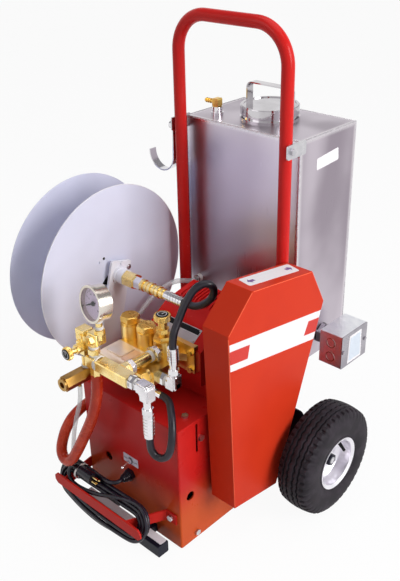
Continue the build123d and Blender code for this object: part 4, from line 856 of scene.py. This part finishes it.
# %% Make the tyres
def tyre(name, side):
    """One tyre about the axle, with tread that sinks into the crown."""
    mesh = bmesh.new()
    profile = tyre_profile()
    rings = []
    for step in range(TYRE_STEPS):
        turn = step / TYRE_STEPS
        angle = 2 * math.pi * turn
        ring = []
        for x, r in profile:
            tread = groove(x, turn) if abs(x) <= TREAD_HALF else 0.0
            if TREAD_HALF < abs(x) < 0.0405 and r > 0.1140 and (turn * TREAD_PITCHES) % 1.0 < LUG_GAP:
                tread = LUG_SIDE
            ring.append(mesh.verts.new((x, (r - tread) * math.cos(angle), (r - tread) * math.sin(angle))))
        rings.append(ring)
    for a, b in zip(rings, rings[1:] + rings[:1]):
        for i in range(len(profile)):
            j = (i + 1) % len(profile)
            mesh.faces.new((a[i], a[j], b[j], b[i]))
    place = Matrix.Translation((side * TRACK_HALF, UPRIGHT_Y, WHEEL_R))
    bmesh.ops.transform(mesh, matrix=place, verts=mesh.verts)
    return piece_from("tread_" + name, mesh, tyre_rubber, "wheel_" + name)


tyre_rubber = rubber("tyre_rubber", (0.017, 0.014, 0.018), (0.036, 0.029, 0.037), 0.62, 0.15, 500.0)
for name, side in (("left", -1), ("right", 1)):
    made = tyre(name, side)
    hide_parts("tyre_" + name)
    print(made.name, len(made.data.polygons), "faces")

# %% [markdown]
# ## Belt guard markings
# A white band crosses the guard's side, level with the slant of its edges, with a red block at each
# end. A blank white label with two plain arrows lies on the sloping top. Each is a thin plate on the
# guard's face. The folded edges of the sheet catch the light, so a slim bead of paler paint runs there.

# %% Belt guard markings
GUARD_FACE = 225.2
GUARD_EDGE = [(-101.8, 82.9), (45.3, 493.6), (-1.2, 580.5), (-193.1, 609.5), (-263.2, 540.2),
              (-244.2, 104.5)]


def on_guard(y, z, x=GUARD_FACE):
    """Point on the guard's side face."""
    return spot(x, y, z)


def band_point(along, down):
    """Point of the band: along it from front to rear, down from its upper edge, both 0 to 1."""
    upper = on_guard(-260.0, 520.7).lerp(on_guard(36.1, 474.3), along)
    lower = on_guard(-257.4, 459.6).lerp(on_guard(13.6, 412.4), along)
    return upper.lerp(lower, down)


side_ways = (1, 0, 0)
band = [(0, 0), (0, 1), (1, 1), (1, 0)]
flat_label("guard_band", [band_point(*c) for c in band], side_ways, (0, 0, 1), label_white, 0.0005)
blocks = {
    "front": [(0.0, 0.25), (0.0, 0.74), (0.185, 0.74), (0.205, 0.25)],
    "rear": [(0.868, 0.25), (0.848, 0.74), (1.0, 0.74), (1.0, 0.25)],
}
for end, corners in blocks.items():
    flat_label("guard_block_" + end, [band_point(*c) for c in corners], side_ways, (0, 0, 1), label_red,
               0.0005, 0.0005)
# painted highlight: a bead of paler paint along each folded edge of the guard
for index, corner in enumerate(GUARD_EDGE):
    after = GUARD_EDGE[(index + 1) % len(GUARD_EDGE)]
    if index in (0, 5):
        continue
    inward = [Vector(corner).lerp(Vector(after), share) for share in (0.012, 0.988)]
    pull = Vector((-114.0, 370.0))
    ends = [p + (pull - p).normalized() * 1.6 for p in inward]
    bead(f"guard_edge_highlight_{index}", on_guard(*ends[0], 224.3), on_guard(*ends[1], 224.3), 0.0011, paint_edge_highlight)

top_slope = (0, 0.149, 0.989)
label_corners = [spot(166, -167.5, 605.6), spot(167, -9, 581.7), spot(206.5, -20, 583.3),
                 spot(203, -175, 606.8)]
flat_label("guard_top_label", label_corners, top_slope, (0, 1, 0), label_white, 0.006)
arrow = [(-0.008, -0.004), (0.003, -0.004), (0.003, -0.009), (0.012, 0.0), (0.003, 0.009), (0.003, 0.004),
         (-0.008, 0.004)]
for name, y in (("front", -150.0), ("rear", -34.0)):
    z = 609.5 - (y + 193.1) * 29.0 / 191.9
    place = facing(spot(186, y, z + 0.35), top_slope, (0, 1, 0))
    turn = Matrix.Rotation(math.radians(90 if name == "rear" else -90), 4, "Z")
    plate("guard_arrow_" + name, arrow, 0.0002, place @ turn, ink_purple)

print("guard", len(blocks), "blocks on the band,", len(GUARD_EDGE) - 2, "edge beads, 2 arrows")

# %% [markdown]
# ## Tank details
# The tank is folded from sheet and welded along its edges: a weld is a row of small overlapping
# swellings, so the bead's radius rises and falls along it. A blank label sits high on the side.

# %% Tank details
TANK_X, TANK_Y0, TANK_Y1, TANK_Z0, TANK_Z1 = 158.85, 32.0, 228.0, 298.0, 833.0
weld_bright = metal("weld_bright", (0.78, 0.75, 0.78), (0.62, 0.58, 0.62), 0.22, 0.14, 90.0)
inset = 0.7
low_x, high_x = -TANK_X + inset, TANK_X - inset
low_y, high_y, top_z = TANK_Y0 + inset, TANK_Y1 - inset, TANK_Z1 - inset
welds = []
for y in (low_y, high_y):
    welds.append(((low_x, y, top_z), (high_x, y, top_z)))
    welds += [((x, y, TANK_Z0 + 2), (x, y, top_z)) for x in (low_x, high_x)]
welds += [((x, low_y, top_z), (x, high_y, top_z)) for x in (low_x, high_x)]
for index, (start, end) in enumerate(welds):
    bead(f"tank_weld_{index}", spot(*start), spot(*end), 0.0016, weld_bright, ripple=0.12, pitch=0.0045)
tank_label = [spot(TANK_X, 88.3, 783.7), spot(TANK_X, 164.4, 790.6), spot(TANK_X, 167.2, 763.5),
              spot(TANK_X, 90.3, 758.3)]
flat_label("tank_label", tank_label, side_ways, (0, 0, 1), label_white, 0.003)
collar = facing(spot(TANK_X, 140, 347), side_ways)
gasket = [(0.0001, 0.019), (0.0016, 0.019), (0.0016, 0.0236), (0.0001, 0.0238)]
turned("heater_gasket", gasket, collar, hose_black)
ring_nut = [(0.0130, 0.0190), (0.0250, 0.0190), (0.0250, 0.0225), (0.0232, 0.0242), (0.0148, 0.0242),
            (0.0130, 0.0225)]
turned("heater_ring", ring_nut, collar, chrome)
print("tank welds", len(welds))

# %% [markdown]
# ## Terminal box
# The galvanised box already has its round knock-outs, cut into the solid. What it gets here is a
# plain label on its cover, in two thin layers: a white plate and a bluish panel set inside its border.

# %% Terminal box
COVER_X = 250.85
cover_label = [spot(COVER_X, 119.0, 380.0), spot(COVER_X, 166.5, 380.5), spot(COVER_X, 169.5, 309.0),
               spot(COVER_X, 115.0, 309.5)]
flat_label("terminal_label", cover_label, side_ways, (0, 0, 1), label_white, 0.002)
label_middle = sum(cover_label, Vector()) / 4
inner_label = [label_middle + (c - label_middle) * 0.84 for c in cover_label]
flat_label("terminal_label_panel", inner_label, side_ways, (0, 0, 1), label_blue, 0.002, 0.0005)

print("cover label", [round(c.z, 3) for c in cover_label])

# %% [markdown]
# ## Thread tape and crimps
# Every threaded joint of the brass work shows a ragged collar of white sealing tape. Hose ends are
# held by crimped sleeves, whose rings are pressed in a row. Both are short turned rings, so one list
# of places serves each. The elbows are forged blocks: an outline thickened, with all edges rounded.

# %% Thread tape
tapes = [
    (26, -342, 425.1, "y", 12.6, 9), (26, -284, 425.1, "y", 12.4, 8), (-33, -371, 425.1, "x", 17.0, 9),
    (-46, -371, 441, "z", 10.6, 6), (-46, -371, 459, "z", 10.4, 6), (-76, -371, 432, "z", 10.4, 6),
    (-76, -371, 403, "z", 10.2, 6), (-35, -361, 504.5, "z", 8.6, 7), (-35, -361, 520, "z", 8.4, 6),
    (79.5, -286.8, 390.1, "x", 12.0, 8), (69, -371, 425.1, "x", 13.6, 7), (82, -371, 425.1, "x", 11.6, 5),
]
AXES = {"x": (1, 0, 0), "y": (0, -1, 0), "z": (0, 0, 1)}


def on_axis(x, y, z, axis):
    """Place on the pump's pipework, looking along the axis that a pipe runs on."""
    return facing(spot(x, y, z), AXES[axis], (0, 1, 0) if axis == "z" else (0, 0, 1))


for index, (x, y, z, axis, radius, width) in enumerate(tapes):
    half, r = width / 2000, radius / 1000
    profile = [(-half, r - 0.002), (-half, r - 0.0004), (-half * 0.4, r + 0.0005), (half * 0.2, r - 0.0001),
               (half * 0.7, r + 0.0006), (half, r - 0.0003), (half, r - 0.002)]
    turned(f"thread_tape_{index}", profile, on_axis(x, y, z, axis), tape_white, steps=32)

print("tapes", len(tapes))

# %% Crimps, elbows and nuts
crimps = [("head", 99, -286.8, 446, "z", 11.0, 5, 6.0), ("bypass", 109, -371, 318, "z", 11.0, 6, 7.5),
          ("swivel", -8, -188, 515, "x", 10.5, 5, 8.0)]
for name, x, y, z, axis, radius, count, pitch in crimps:
    place = on_axis(x, y, z, axis)
    for index in range(count):
        along, r = index * pitch / 1000, radius / 1000
        profile = [(along, r - 0.001), (along + 0.0006, r + 0.0007), (along + 0.0030, r + 0.0007),
                   (along + 0.0036, r - 0.001)]
        turned(f"crimp_{name}_{index}", profile, place, chrome, steps=36)
cast_zinc = metal("cast_zinc", (0.82, 0.80, 0.82), (0.70, 0.68, 0.70), 0.24, 0.10, 30.0, 0.00001)
elbows = {
    "bypass": ((109, -371, 425.1),
               [(-22, -12), (-12, -12), (-12, -27), (13, -27), (13, 7), (7, 13), (-22, 13)]),
    "head": ((99, -286.8, 390.1),
             [(-17, -12), (7, -12), (12, -7), (12, 24), (-11, 24), (-11, 11), (-17, 11)]),
}
for name, (middle, corners) in elbows.items():
    outline = [(x / 1000, z / 1000) for x, z in corners]
    forged("elbow_" + name, outline, 0.025, facing(spot(*middle), (0, -1, 0)), cast_zinc, 0.0032)
for name, y, flat in (("front", -333, 0.0150), ("rear", -266, 0.0168)):
    outline = polygon(6, flat / math.cos(math.pi / 6), math.pi / 6)
    nut_place = on_axis(26, y, 425.1, "y") @ Matrix.Translation((0, 0, 0.0055))
    forged("nipple_nut_" + name, outline, 0.011, nut_place, cast_zinc, 0.0010)
sleeve = [(0.0, 0.0062), (0.016, 0.0062), (0.016, 0.0078), (0.012, 0.0092), (0.004, 0.0092), (0.0, 0.0086)]
turned("return_sleeve", sleeve, facing(spot(-124, 32, 441), (0, -1, 0)), nylon_white)

print("crimped hose ends", len(crimps), "elbows", len(elbows))

# %% [markdown]
# ## Milled pads on the pump head
# The chamber's top was milled in two steps, and the fresh metal there is paler and rosier than the
# cast skin. Two thin pads with rounded edges give the steps a real height.

# %% Milled pads on the pump head
HEAD_TOP = 412.1
copper_pale = metal("copper_pale", (1.0, 0.90, 0.80), (0.96, 0.80, 0.66), 0.38, 0.10, 24.0, 0.00001)
copper_rose = metal("copper_rose", (0.96, 0.72, 0.58), (0.90, 0.62, 0.46), 0.36, 0.10, 24.0, 0.00001)
PAD_SUNK = 1.0
pads = [("left", -54.5, -294.0, 47, 41, 3.6, copper_pale),
        ("right", -20.0, -296.0, 19, 43, 1.8, copper_rose)]
for name, x, y, wide, deep, high, finish in pads:
    place = facing(spot(x, y, HEAD_TOP + (high - PAD_SUNK) / 2), (0, 0, 1), (0, 1, 0))
    outline = softened(rectangle(wide / 1000, deep / 1000), 0.003)
    forged("head_pad_" + name, outline, (high + PAD_SUNK) / 1000, place, finish, 0.0007)

print("pads", [row[0] for row in pads])

# %% [markdown]
# ## Knobs
# The pulse knob is a knurled brass cap with a black disc on top, the regulator a smaller one that
# looks forward. Each disc has a pale ring printed on it, and both turn with their knob's body. A bump
# could fake the knurling, but it shows on the outline, so the ridges are real.

# %% Knobs
def knob_face(name, place, radius, ring, body):
    """A black disc in a brass rim, with a pale printed ring."""
    disc = [(0.0, 0.0), (0.0012, 0.0), (0.0012, radius - 0.0008), (0.0006, radius), (0.0, radius)]
    turned(name + "_disc", disc, place, plastic_black, body)
    printed = [(0.0012, ring - 0.0006), (0.0014, ring - 0.0006), (0.0014, ring + 0.0006),
               (0.0012, ring + 0.0006)]
    turned(name + "_ring", printed, place, label_white, body)
    plate(name + "_pointer", rectangle(0.0013, ring * 1.1), 0.0002,
          place @ Matrix.Translation((0, ring * 0.45, 0.0012)), label_white, body)


def knurl(name, place, radius, height, count, body):
    """Small upright ridges round a knob's skirt."""
    mesh = bmesh.new()
    for step in range(count):
        angle = 2 * math.pi * step / count
        x, y = radius * math.cos(angle), radius * math.sin(angle)
        turn = Matrix.Translation((x, y, height / 2)) @ Matrix.Rotation(angle + math.pi / 4, 4, "Z")
        size = Matrix.Diagonal((0.0011, 0.0011, height, 1.0))
        bmesh.ops.create_cube(mesh, size=1.0, matrix=turn @ size)
    bmesh.ops.transform(mesh, matrix=place, verts=mesh.verts)
    return piece_from(name, mesh, brass_pale, body, smooth=False)


pulse_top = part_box("pulse_knob")[1].z
pulse_place = facing(spot(20, -237.8, 0) + Vector((0, 0, pulse_top)), (0, 0, 1), (0, 1, 0))
knob_face("pulse", pulse_place, 0.0135, 0.0095, "pulse")
knurl("pulse_knurl", pulse_place @ Matrix.Translation((0, 0, -0.0125)), 0.0174, 0.011, 44, "pulse")
regulator_place = facing(spot(-76, -420.3, 451.1), (0, -1, 0))
knob_face("regulator", regulator_place, 0.0120, 0.0085, "regulator")
knurl("regulator_knurl", regulator_place @ Matrix.Translation((0, 0, -0.0095)), 0.0139, 0.008, 36,
      "regulator")

print("pulse knob top", round(pulse_top, 4))

# %% [markdown]
# ## Pump nameplate
# A plate with a black strip over a silver panel lies on the crankcase's front slope, held by four
# rivets. It is three thin plates in one leaning frame, because a flat face shows the step of each.

# %% Pump nameplate
slope = (0, -0.563, 0.826)
plate_place = facing(spot(20, -184.5, 443.5), slope, (0, 0, 1))
plate("nameplate", softened(rectangle(0.100, 0.034), 0.002), 0.0008, plate_place, label_silver)
plate("nameplate_strip", rectangle(0.096, 0.012), 0.0002,
      plate_place @ Matrix.Translation((0, 0.0095, 0.0008)), ink_black)
plate("nameplate_rule", rectangle(0.096, 0.0010), 0.0002,
      plate_place @ Matrix.Translation((0, 0.0026, 0.0008)), label_white)
rivet = [(0.0, 0.0), (0.0014, 0.0), (0.0011, 0.0012), (0.0, 0.0018)]
for index, (u, v) in enumerate(((-0.047, 0.013), (0.047, 0.013), (0.047, -0.013), (-0.047, -0.013))):
    rivet_place = plate_place @ Matrix.Translation((u, v, 0.0008))
    turned(f"nameplate_rivet_{index}", rivet, rivet_place, chrome, steps=16)

print("nameplate leans", round(math.degrees(math.atan2(0.563, 0.826)), 1), "degrees")

# %% [markdown]
# ## Pressure gauge
# The dial is a pale disc with ticks, a few plain numbers and a short red arc, behind a flat lens. The
# needle is a solid of the frame; a slim black blade and a boss lie on it and turn with it.

# %% Dial
gauge_place = (Matrix.Translation(spot(-35, -361, 561.1)) @ Matrix.Rotation(math.radians(-8), 4, "Z")
               @ Matrix.Rotation(math.radians(-7), 4, "X"))
DIAL_R, REST_ANGLE, SWEEP = 0.0333, -117.0, 240.0
DIAL_TOP, NEEDLE_TOP, GLASS_TOP = 0.0076, 0.0104, 0.0148
to_face = gauge_place @ Matrix.Rotation(math.radians(90), 4, "X")
dial_back = DIAL_TOP - 0.0005
dial = [(dial_back, 0.0026), (DIAL_TOP, 0.0026), (DIAL_TOP, DIAL_R), (dial_back, DIAL_R)]
# the dial's lilac is lightened: painted light against the shade in the gauge
turned("gauge_dial", dial, to_face, dial_lilac_lightened, steps=64)


def dial_place(angle, radius):
    """On the dial, at an angle clockwise from straight up, turned to face outwards."""
    turn = math.radians(angle)
    there = Matrix.Translation((radius * math.sin(turn), radius * math.cos(turn), DIAL_TOP))
    return to_face @ there @ Matrix.Rotation(-turn, 4, "Z")


# %% Marks, needle and glass
MARKS, LONG_EVERY = 24, 4
for mark_index in range(MARKS + 1):
    angle = REST_ANGLE + SWEEP * mark_index / MARKS
    long_mark = mark_index % LONG_EVERY == 0
    length = 0.0052 if long_mark else 0.0030
    width = 0.0011 if long_mark else 0.0006
    plate(f"gauge_mark_{mark_index}", rectangle(width, length), 0.0001,
          dial_place(angle, 0.0292 - length / 2), ink_black)
    if long_mark:
        level_place = dial_place(angle, 0.0192) @ Matrix.Rotation(math.radians(angle), 4, "Z")
        number = str(mark_index // LONG_EVERY * 10)
        words(f"gauge_number_{mark_index}", number, 0.0058, level_place, ink_black)
needle_place = to_face @ Matrix.Rotation(-math.radians(REST_ANGLE), 4, "Z")
blade = [(-0.0022, -0.0080), (0.0022, -0.0080), (0.0020, 0.004), (0.0008, 0.0265), (-0.0008, 0.0265),
         (-0.0020, 0.004)]
blade_place = needle_place @ Matrix.Translation((0, 0, NEEDLE_TOP))
plate("needle_blade", blade, 0.0005, blade_place, ink_black, "needle")
boss = [(NEEDLE_TOP + along, r) for along, r in
        ((0.0, 0.0), (0.0024, 0.0), (0.0022, 0.0026), (0.0012, 0.0042), (0.0, 0.0042))]
turned("needle_boss", boss, to_face, ink_black, "needle", 24)
arc = []
for radius, order in ((0.0316, range(13)), (0.0300, range(12, -1, -1))):
    for step in order:
        turn = math.radians(60 + 63 * step / 12)
        arc.append((radius * math.sin(turn), radius * math.cos(turn)))
plate("gauge_arc", arc, 0.0001, to_face @ Matrix.Translation((0, 0, DIAL_TOP)), ink_pink)
lens_finish = Finish("gauge_lens", Base_Color=(0.9, 0.9, 0.95), Alpha=0.08, Specular_IOR_Level=0.6)
lens_finish.set(Roughness=0.03 + 0.05 * lens_finish.noise(40.0))
glass = [(GLASS_TOP - 0.0015, 0.0), (GLASS_TOP, 0.0), (GLASS_TOP - 0.0003, 0.0330),
         (GLASS_TOP - 0.0015, 0.0333)]
turned("gauge_glass", glass, to_face, lens_finish.material, steps=64)

print("gauge marks", MARKS + 1)

# %% [markdown]
# ## Switch, gland and plug
# The toggle has a nut and two plain words beside it. The gland's tail has ribs that let the cord bend,
# and the plug two flat blades and a round pin. A white tie holds the plug to the hank: a flat ring
# whose loop is drawn in the hank's own leaning plane, so that it lies round the cords.

# %% Switch and gland
PANEL_Y = -334.0
lever_low, lever_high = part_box("switch_lever")
lever_middle = (lever_low + lever_high) / 2
panel_place = facing(Vector((lever_middle.x, PANEL_Y / 1000 + UPRIGHT_Y, 0.167)), (0, -1, 0))
for text, x in (("ON", -0.0155), ("OFF", 0.0150)):
    word_place = panel_place @ Matrix.Translation((x, 0, 0.0002))
    words("switch_" + text.lower(), text, 0.0065, word_place, ink_black)
nut = [(0.0002, 0.0046), (0.0024, 0.0046), (0.0030, 0.0066), (0.0024, 0.0078), (0.0002, 0.0082)]
turned("switch_nut", nut, panel_place, steel_dark, steps=6)
gland = facing(spot(-5, -341, 126), (0, -1, 0))
for index in range(4):
    along, r = 0.0015 + index * 0.004, 0.0112 - index * 0.00085
    profile = [(along, r - 0.001), (along + 0.0004, r + 0.0006), (along + 0.0018, r + 0.0006),
               (along + 0.0022, r - 0.001)]
    turned(f"gland_rib_{index}", profile, gland, cord_black, steps=32)


# %% Plug
def in_plug(x, up, across):
    """Place in the plug, looking along its blades."""
    out = on_hank(0, 44.5, 17.5) - on_hank(0, 44.5, 16.5)
    return facing(on_hank(x, up, across), (1, 0, 0), out)


for name, up in (("upper", 49.5), ("lower", 39.5)):
    blade = softened(rectangle(0.0022, 0.0066), 0.0008)
    plate("plug_blade_" + name, blade, 0.0182, in_plug(-58, up, 19.5), brass_pale, bevel=0.0004)
pin = [(0.0, 0.0), (0.0, 0.0026), (0.0165, 0.0026), (0.0182, 0.0014), (0.0184, 0.0)]
turned("plug_pin", pin, in_plug(-58, 44.5, 10.5), brass_pale, steps=20)
for index in range(4):
    r = 0.0084 + 0.0004 * index
    profile = [(0.0, r - 0.0016), (0.0005, r + 0.0004), (0.0021, r + 0.0004), (0.0026, r - 0.0016)]
    turned(f"plug_rib_{index}", profile, in_plug(-116 + index * 4, 44.5, 16.5), cord_black, steps=28)


# %% Tie
def tie(name, x, middle, half, width, thickness):
    """A flat loop round the hank at one place along it."""
    mesh = bmesh.new()
    rings = []
    count = 40
    for step in range(count):
        angle = 2 * math.pi * step / count
        ring = []
        for side, grow in ((-1, 0), (1, 0), (1, thickness), (-1, thickness)):
            up = middle[0] + (half[0] + grow) * math.sin(angle)
            across = middle[1] + (half[1] + grow) * math.cos(angle)
            lean = 1.5 * math.sin(angle)
            ring.append(mesh.verts.new(on_hank(x + side * width / 2 + lean, up, across)))
        rings.append(ring)
    for a, b in zip(rings, rings[1:] + rings[:1]):
        for i in range(4):
            j = (i + 1) % 4
            mesh.faces.new((a[i], a[j], b[j], b[i]))
    return piece_from(name, mesh, nylon_white, "machine")


hank_tie = tie("hank_tie", -107, (37.5, 7.5), (17.5, 19.0), 4.6, 1.1)
print(hank_tie.name, len(hank_tie.data.polygons), "faces")

# %% [markdown]
# ## Foot strip, wheel and reel details
# A pale strip lies along the foot bar. The rims show a dark nut with a bright axle end, and a
# valve stem leans out of each. The reel's disc has a painted highlight along its edge, black patches of
# painted shade mark its small hole and the notch for the hose, and three bolts sit on its arm.

# %% Foot strip and wheel details
strip_place = facing(spot(0, -364.5, 30), (0, 0, 1), (0, 1, 0))
plate("foot_strip", softened(rectangle(0.252, 0.019), 0.003), 0.0012, strip_place, strip_grey, bevel=0.0004)
nut_low, nut_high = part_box("axle_nuts")
for name, side, x in (("right", 1, nut_high.x), ("left", -1, nut_low.x)):
    place = facing(Vector((x - side * 0.0005, UPRIGHT_Y, WHEEL_R)), (side, 0, 0))
    tip = [(0.0, 0.0), (0.0, 0.0042), (0.0018, 0.0042), (0.0026, 0.0030), (0.0028, 0.0)]
    turned("axle_tip_" + name, tip, place, chrome, steps=28)

stem = [(0.0, 0.0), (0.0, 0.0056), (0.006, 0.0056), (0.009, 0.0042), (0.022, 0.0038), (0.022, 0.0030),
        (0.0225, 0.0034), (0.031, 0.0034), (0.032, 0.0024), (0.032, 0.0)]
for name, side in (("right", 1), ("left", -1)):
    foot = Vector((side * 0.2905, UPRIGHT_Y + 0.034, WHEEL_R + 0.031))
    stem_place = facing(foot, (side * 0.80, -0.30, -0.27))
    turned("valve_stem_" + name, stem, stem_place, plastic_black, "wheel_" + name, 24)

print("axle nuts from", round(nut_low.x, 4), "to", round(nut_high.x, 4))

# %% Reel details
REEL_FACE = -182.0
# painted shade: a black disc stands for the dark of the small hole
hole = [(0.0, 0.0), (0.0002, 0.0), (0.0002, 0.0030), (0.0, 0.0034)]
turned("reel_hole_shade", hole, facing(spot(REEL_FACE, -216.9, 560.1), side_ways), ink_black, "reel", 20)
# painted highlight: a pale ring along the disc's edge
disc_highlight = [(-0.0017, 0.2022), (0.0001, 0.2022), (0.0001, 0.2034), (-0.0017, 0.2034)]
turned("reel_edge_highlight", disc_highlight, facing(spot(REEL_FACE, -188, 515), side_ways), paint_pale, "reel", 160)
bolt_head = [(0.0, 0.0), (0.0, 0.0062), (0.0008, 0.0062), (0.0010, 0.0044), (0.0030, 0.0040), (0.0036, 0.0)]
for index, (y, z) in enumerate(((-160.0, 524.6), (-203.0, 508.0), (-164.0, 496.0))):
    turned(f"arm_bolt_{index}", bolt_head, facing(spot(-166, y, z), side_ways), zinc, steps=24)
# painted shade: a black patch stands for the dark of the hose notch
notch = [spot(REEL_FACE, -228.6, 500.1), spot(REEL_FACE, -211.6, 493.5), spot(REEL_FACE, -209.3, 517.8)]
flat_label("reel_hose_notch_shade", notch, side_ways, (0, 0, 1), ink_black, 0.004, 0.0002, "reel")

print("reel disc at", REEL_FACE, "mm")

# %% [markdown]
# ## Floor and light
# A pale floor runs out to a pale round wall. Both glow a little for the camera and for reflections, so
# that they show white, and still take the shadow. The main lamp stands on the machine's right, because
# its right sides are much brighter than its front; a weak one fills the front and one hangs above.

# %% Floor and wall
def pale_stage():
    """Matt white that reads as white to the camera and in reflections."""
    ground = Finish("floor_pale", Base_Color=(0.82, 0.82, 0.82), Roughness=0.9)
    seen = ground.node("LightPath", out=0)
    for ray in (3, 6):
        seen = seen.math("MAXIMUM", ground.node("LightPath", out=ray))
    glow = ground.node("Emission", None, {"Color": (1.0, 1.0, 1.0), "Strength": 1.0})
    mixed = ground.node("MixShader", None, {0: seen * 0.94, 2: glow})
    ground.tree.links.new(ground.skin.outputs[0], mixed.socket.node.inputs[1])
    ground.tree.links.new(mixed.socket, ground.output.inputs["Surface"])
    return ground.material


FLOOR_R, WALL_HIGH, FLOOR_SIDES = 11.0, 8.5, 64
pale = pale_stage()
rim_points = polygon(FLOOR_SIDES, FLOOR_R)
floor_mesh = bpy.data.meshes.new("floor")
floor_mesh.from_pydata([(x, y, 0) for x, y in rim_points], [], [tuple(range(FLOOR_SIDES))])
wall_mesh = bpy.data.meshes.new("wall")
wall_points = [(x, y, z) for z in (0.0, WALL_HIGH) for x, y in rim_points]
wall_faces = []
for step in range(FLOOR_SIDES):
    after = (step + 1) % FLOOR_SIDES
    wall_faces.append((after, step, step + FLOOR_SIDES, after + FLOOR_SIDES))
wall_mesh.from_pydata(wall_points, [], wall_faces)
for name, mesh in (("floor", floor_mesh), ("wall", wall_mesh)):
    mesh.materials.append(pale)
    link(bpy.data.objects.new(name, mesh))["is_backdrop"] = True

print("floor and wall", FLOOR_SIDES, "sides")

# %% Surround and lamps
world = bpy.data.worlds.new("surround")
bpy.context.scene.world = world
world.use_nodes = True
sky = world.node_tree
sky.nodes.clear()
sky_out = sky.nodes.new("ShaderNodeOutputWorld")
sky_light = sky.nodes.new("ShaderNodeBackground")
sky_light.inputs["Color"].default_value = (0.90, 0.88, 0.92, 1)
sky_light.inputs["Strength"].default_value = 0.32
sky.links.new(sky_light.outputs[0], sky_out.inputs["Surface"])


def lamp(name, place, aim, size, power, colour=(1.0, 1.0, 1.0)):
    """A soft lamp that points at a spot and stays out of the picture itself."""
    light = bpy.data.lights.new(name, "AREA")
    light.shape = "RECTANGLE"
    light.size, light.size_y = size
    light.energy = power
    light.color = colour
    made = link(bpy.data.objects.new(name, light))
    made.location = place
    made.rotation_mode = "QUATERNION"
    made.rotation_quaternion = (Vector(aim) - Vector(place)).to_track_quat("-Z", "Y")
    made.visible_camera = False


lamp("lamp_front", (-1.2, -2.6, 2.3), (0, 0, 0.4), (1.8, 1.8), 14.0)
lamp("lamp_right", (2.9, 0.5, 1.7), (0, 0, 0.4), (1.4, 2.0), 85.0)
lamp("lamp_top", (0.2, 0.2, 3.2), (0, 0, 0.3), (2.4, 2.4), 30.0)
print("lamps", sorted(light.name for light in bpy.data.lights))

# %% Measure and finish
bpy.context.view_layer.update()
low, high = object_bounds()
print("visual box", [round(h - l, 3) for l, h in zip(low, high)])
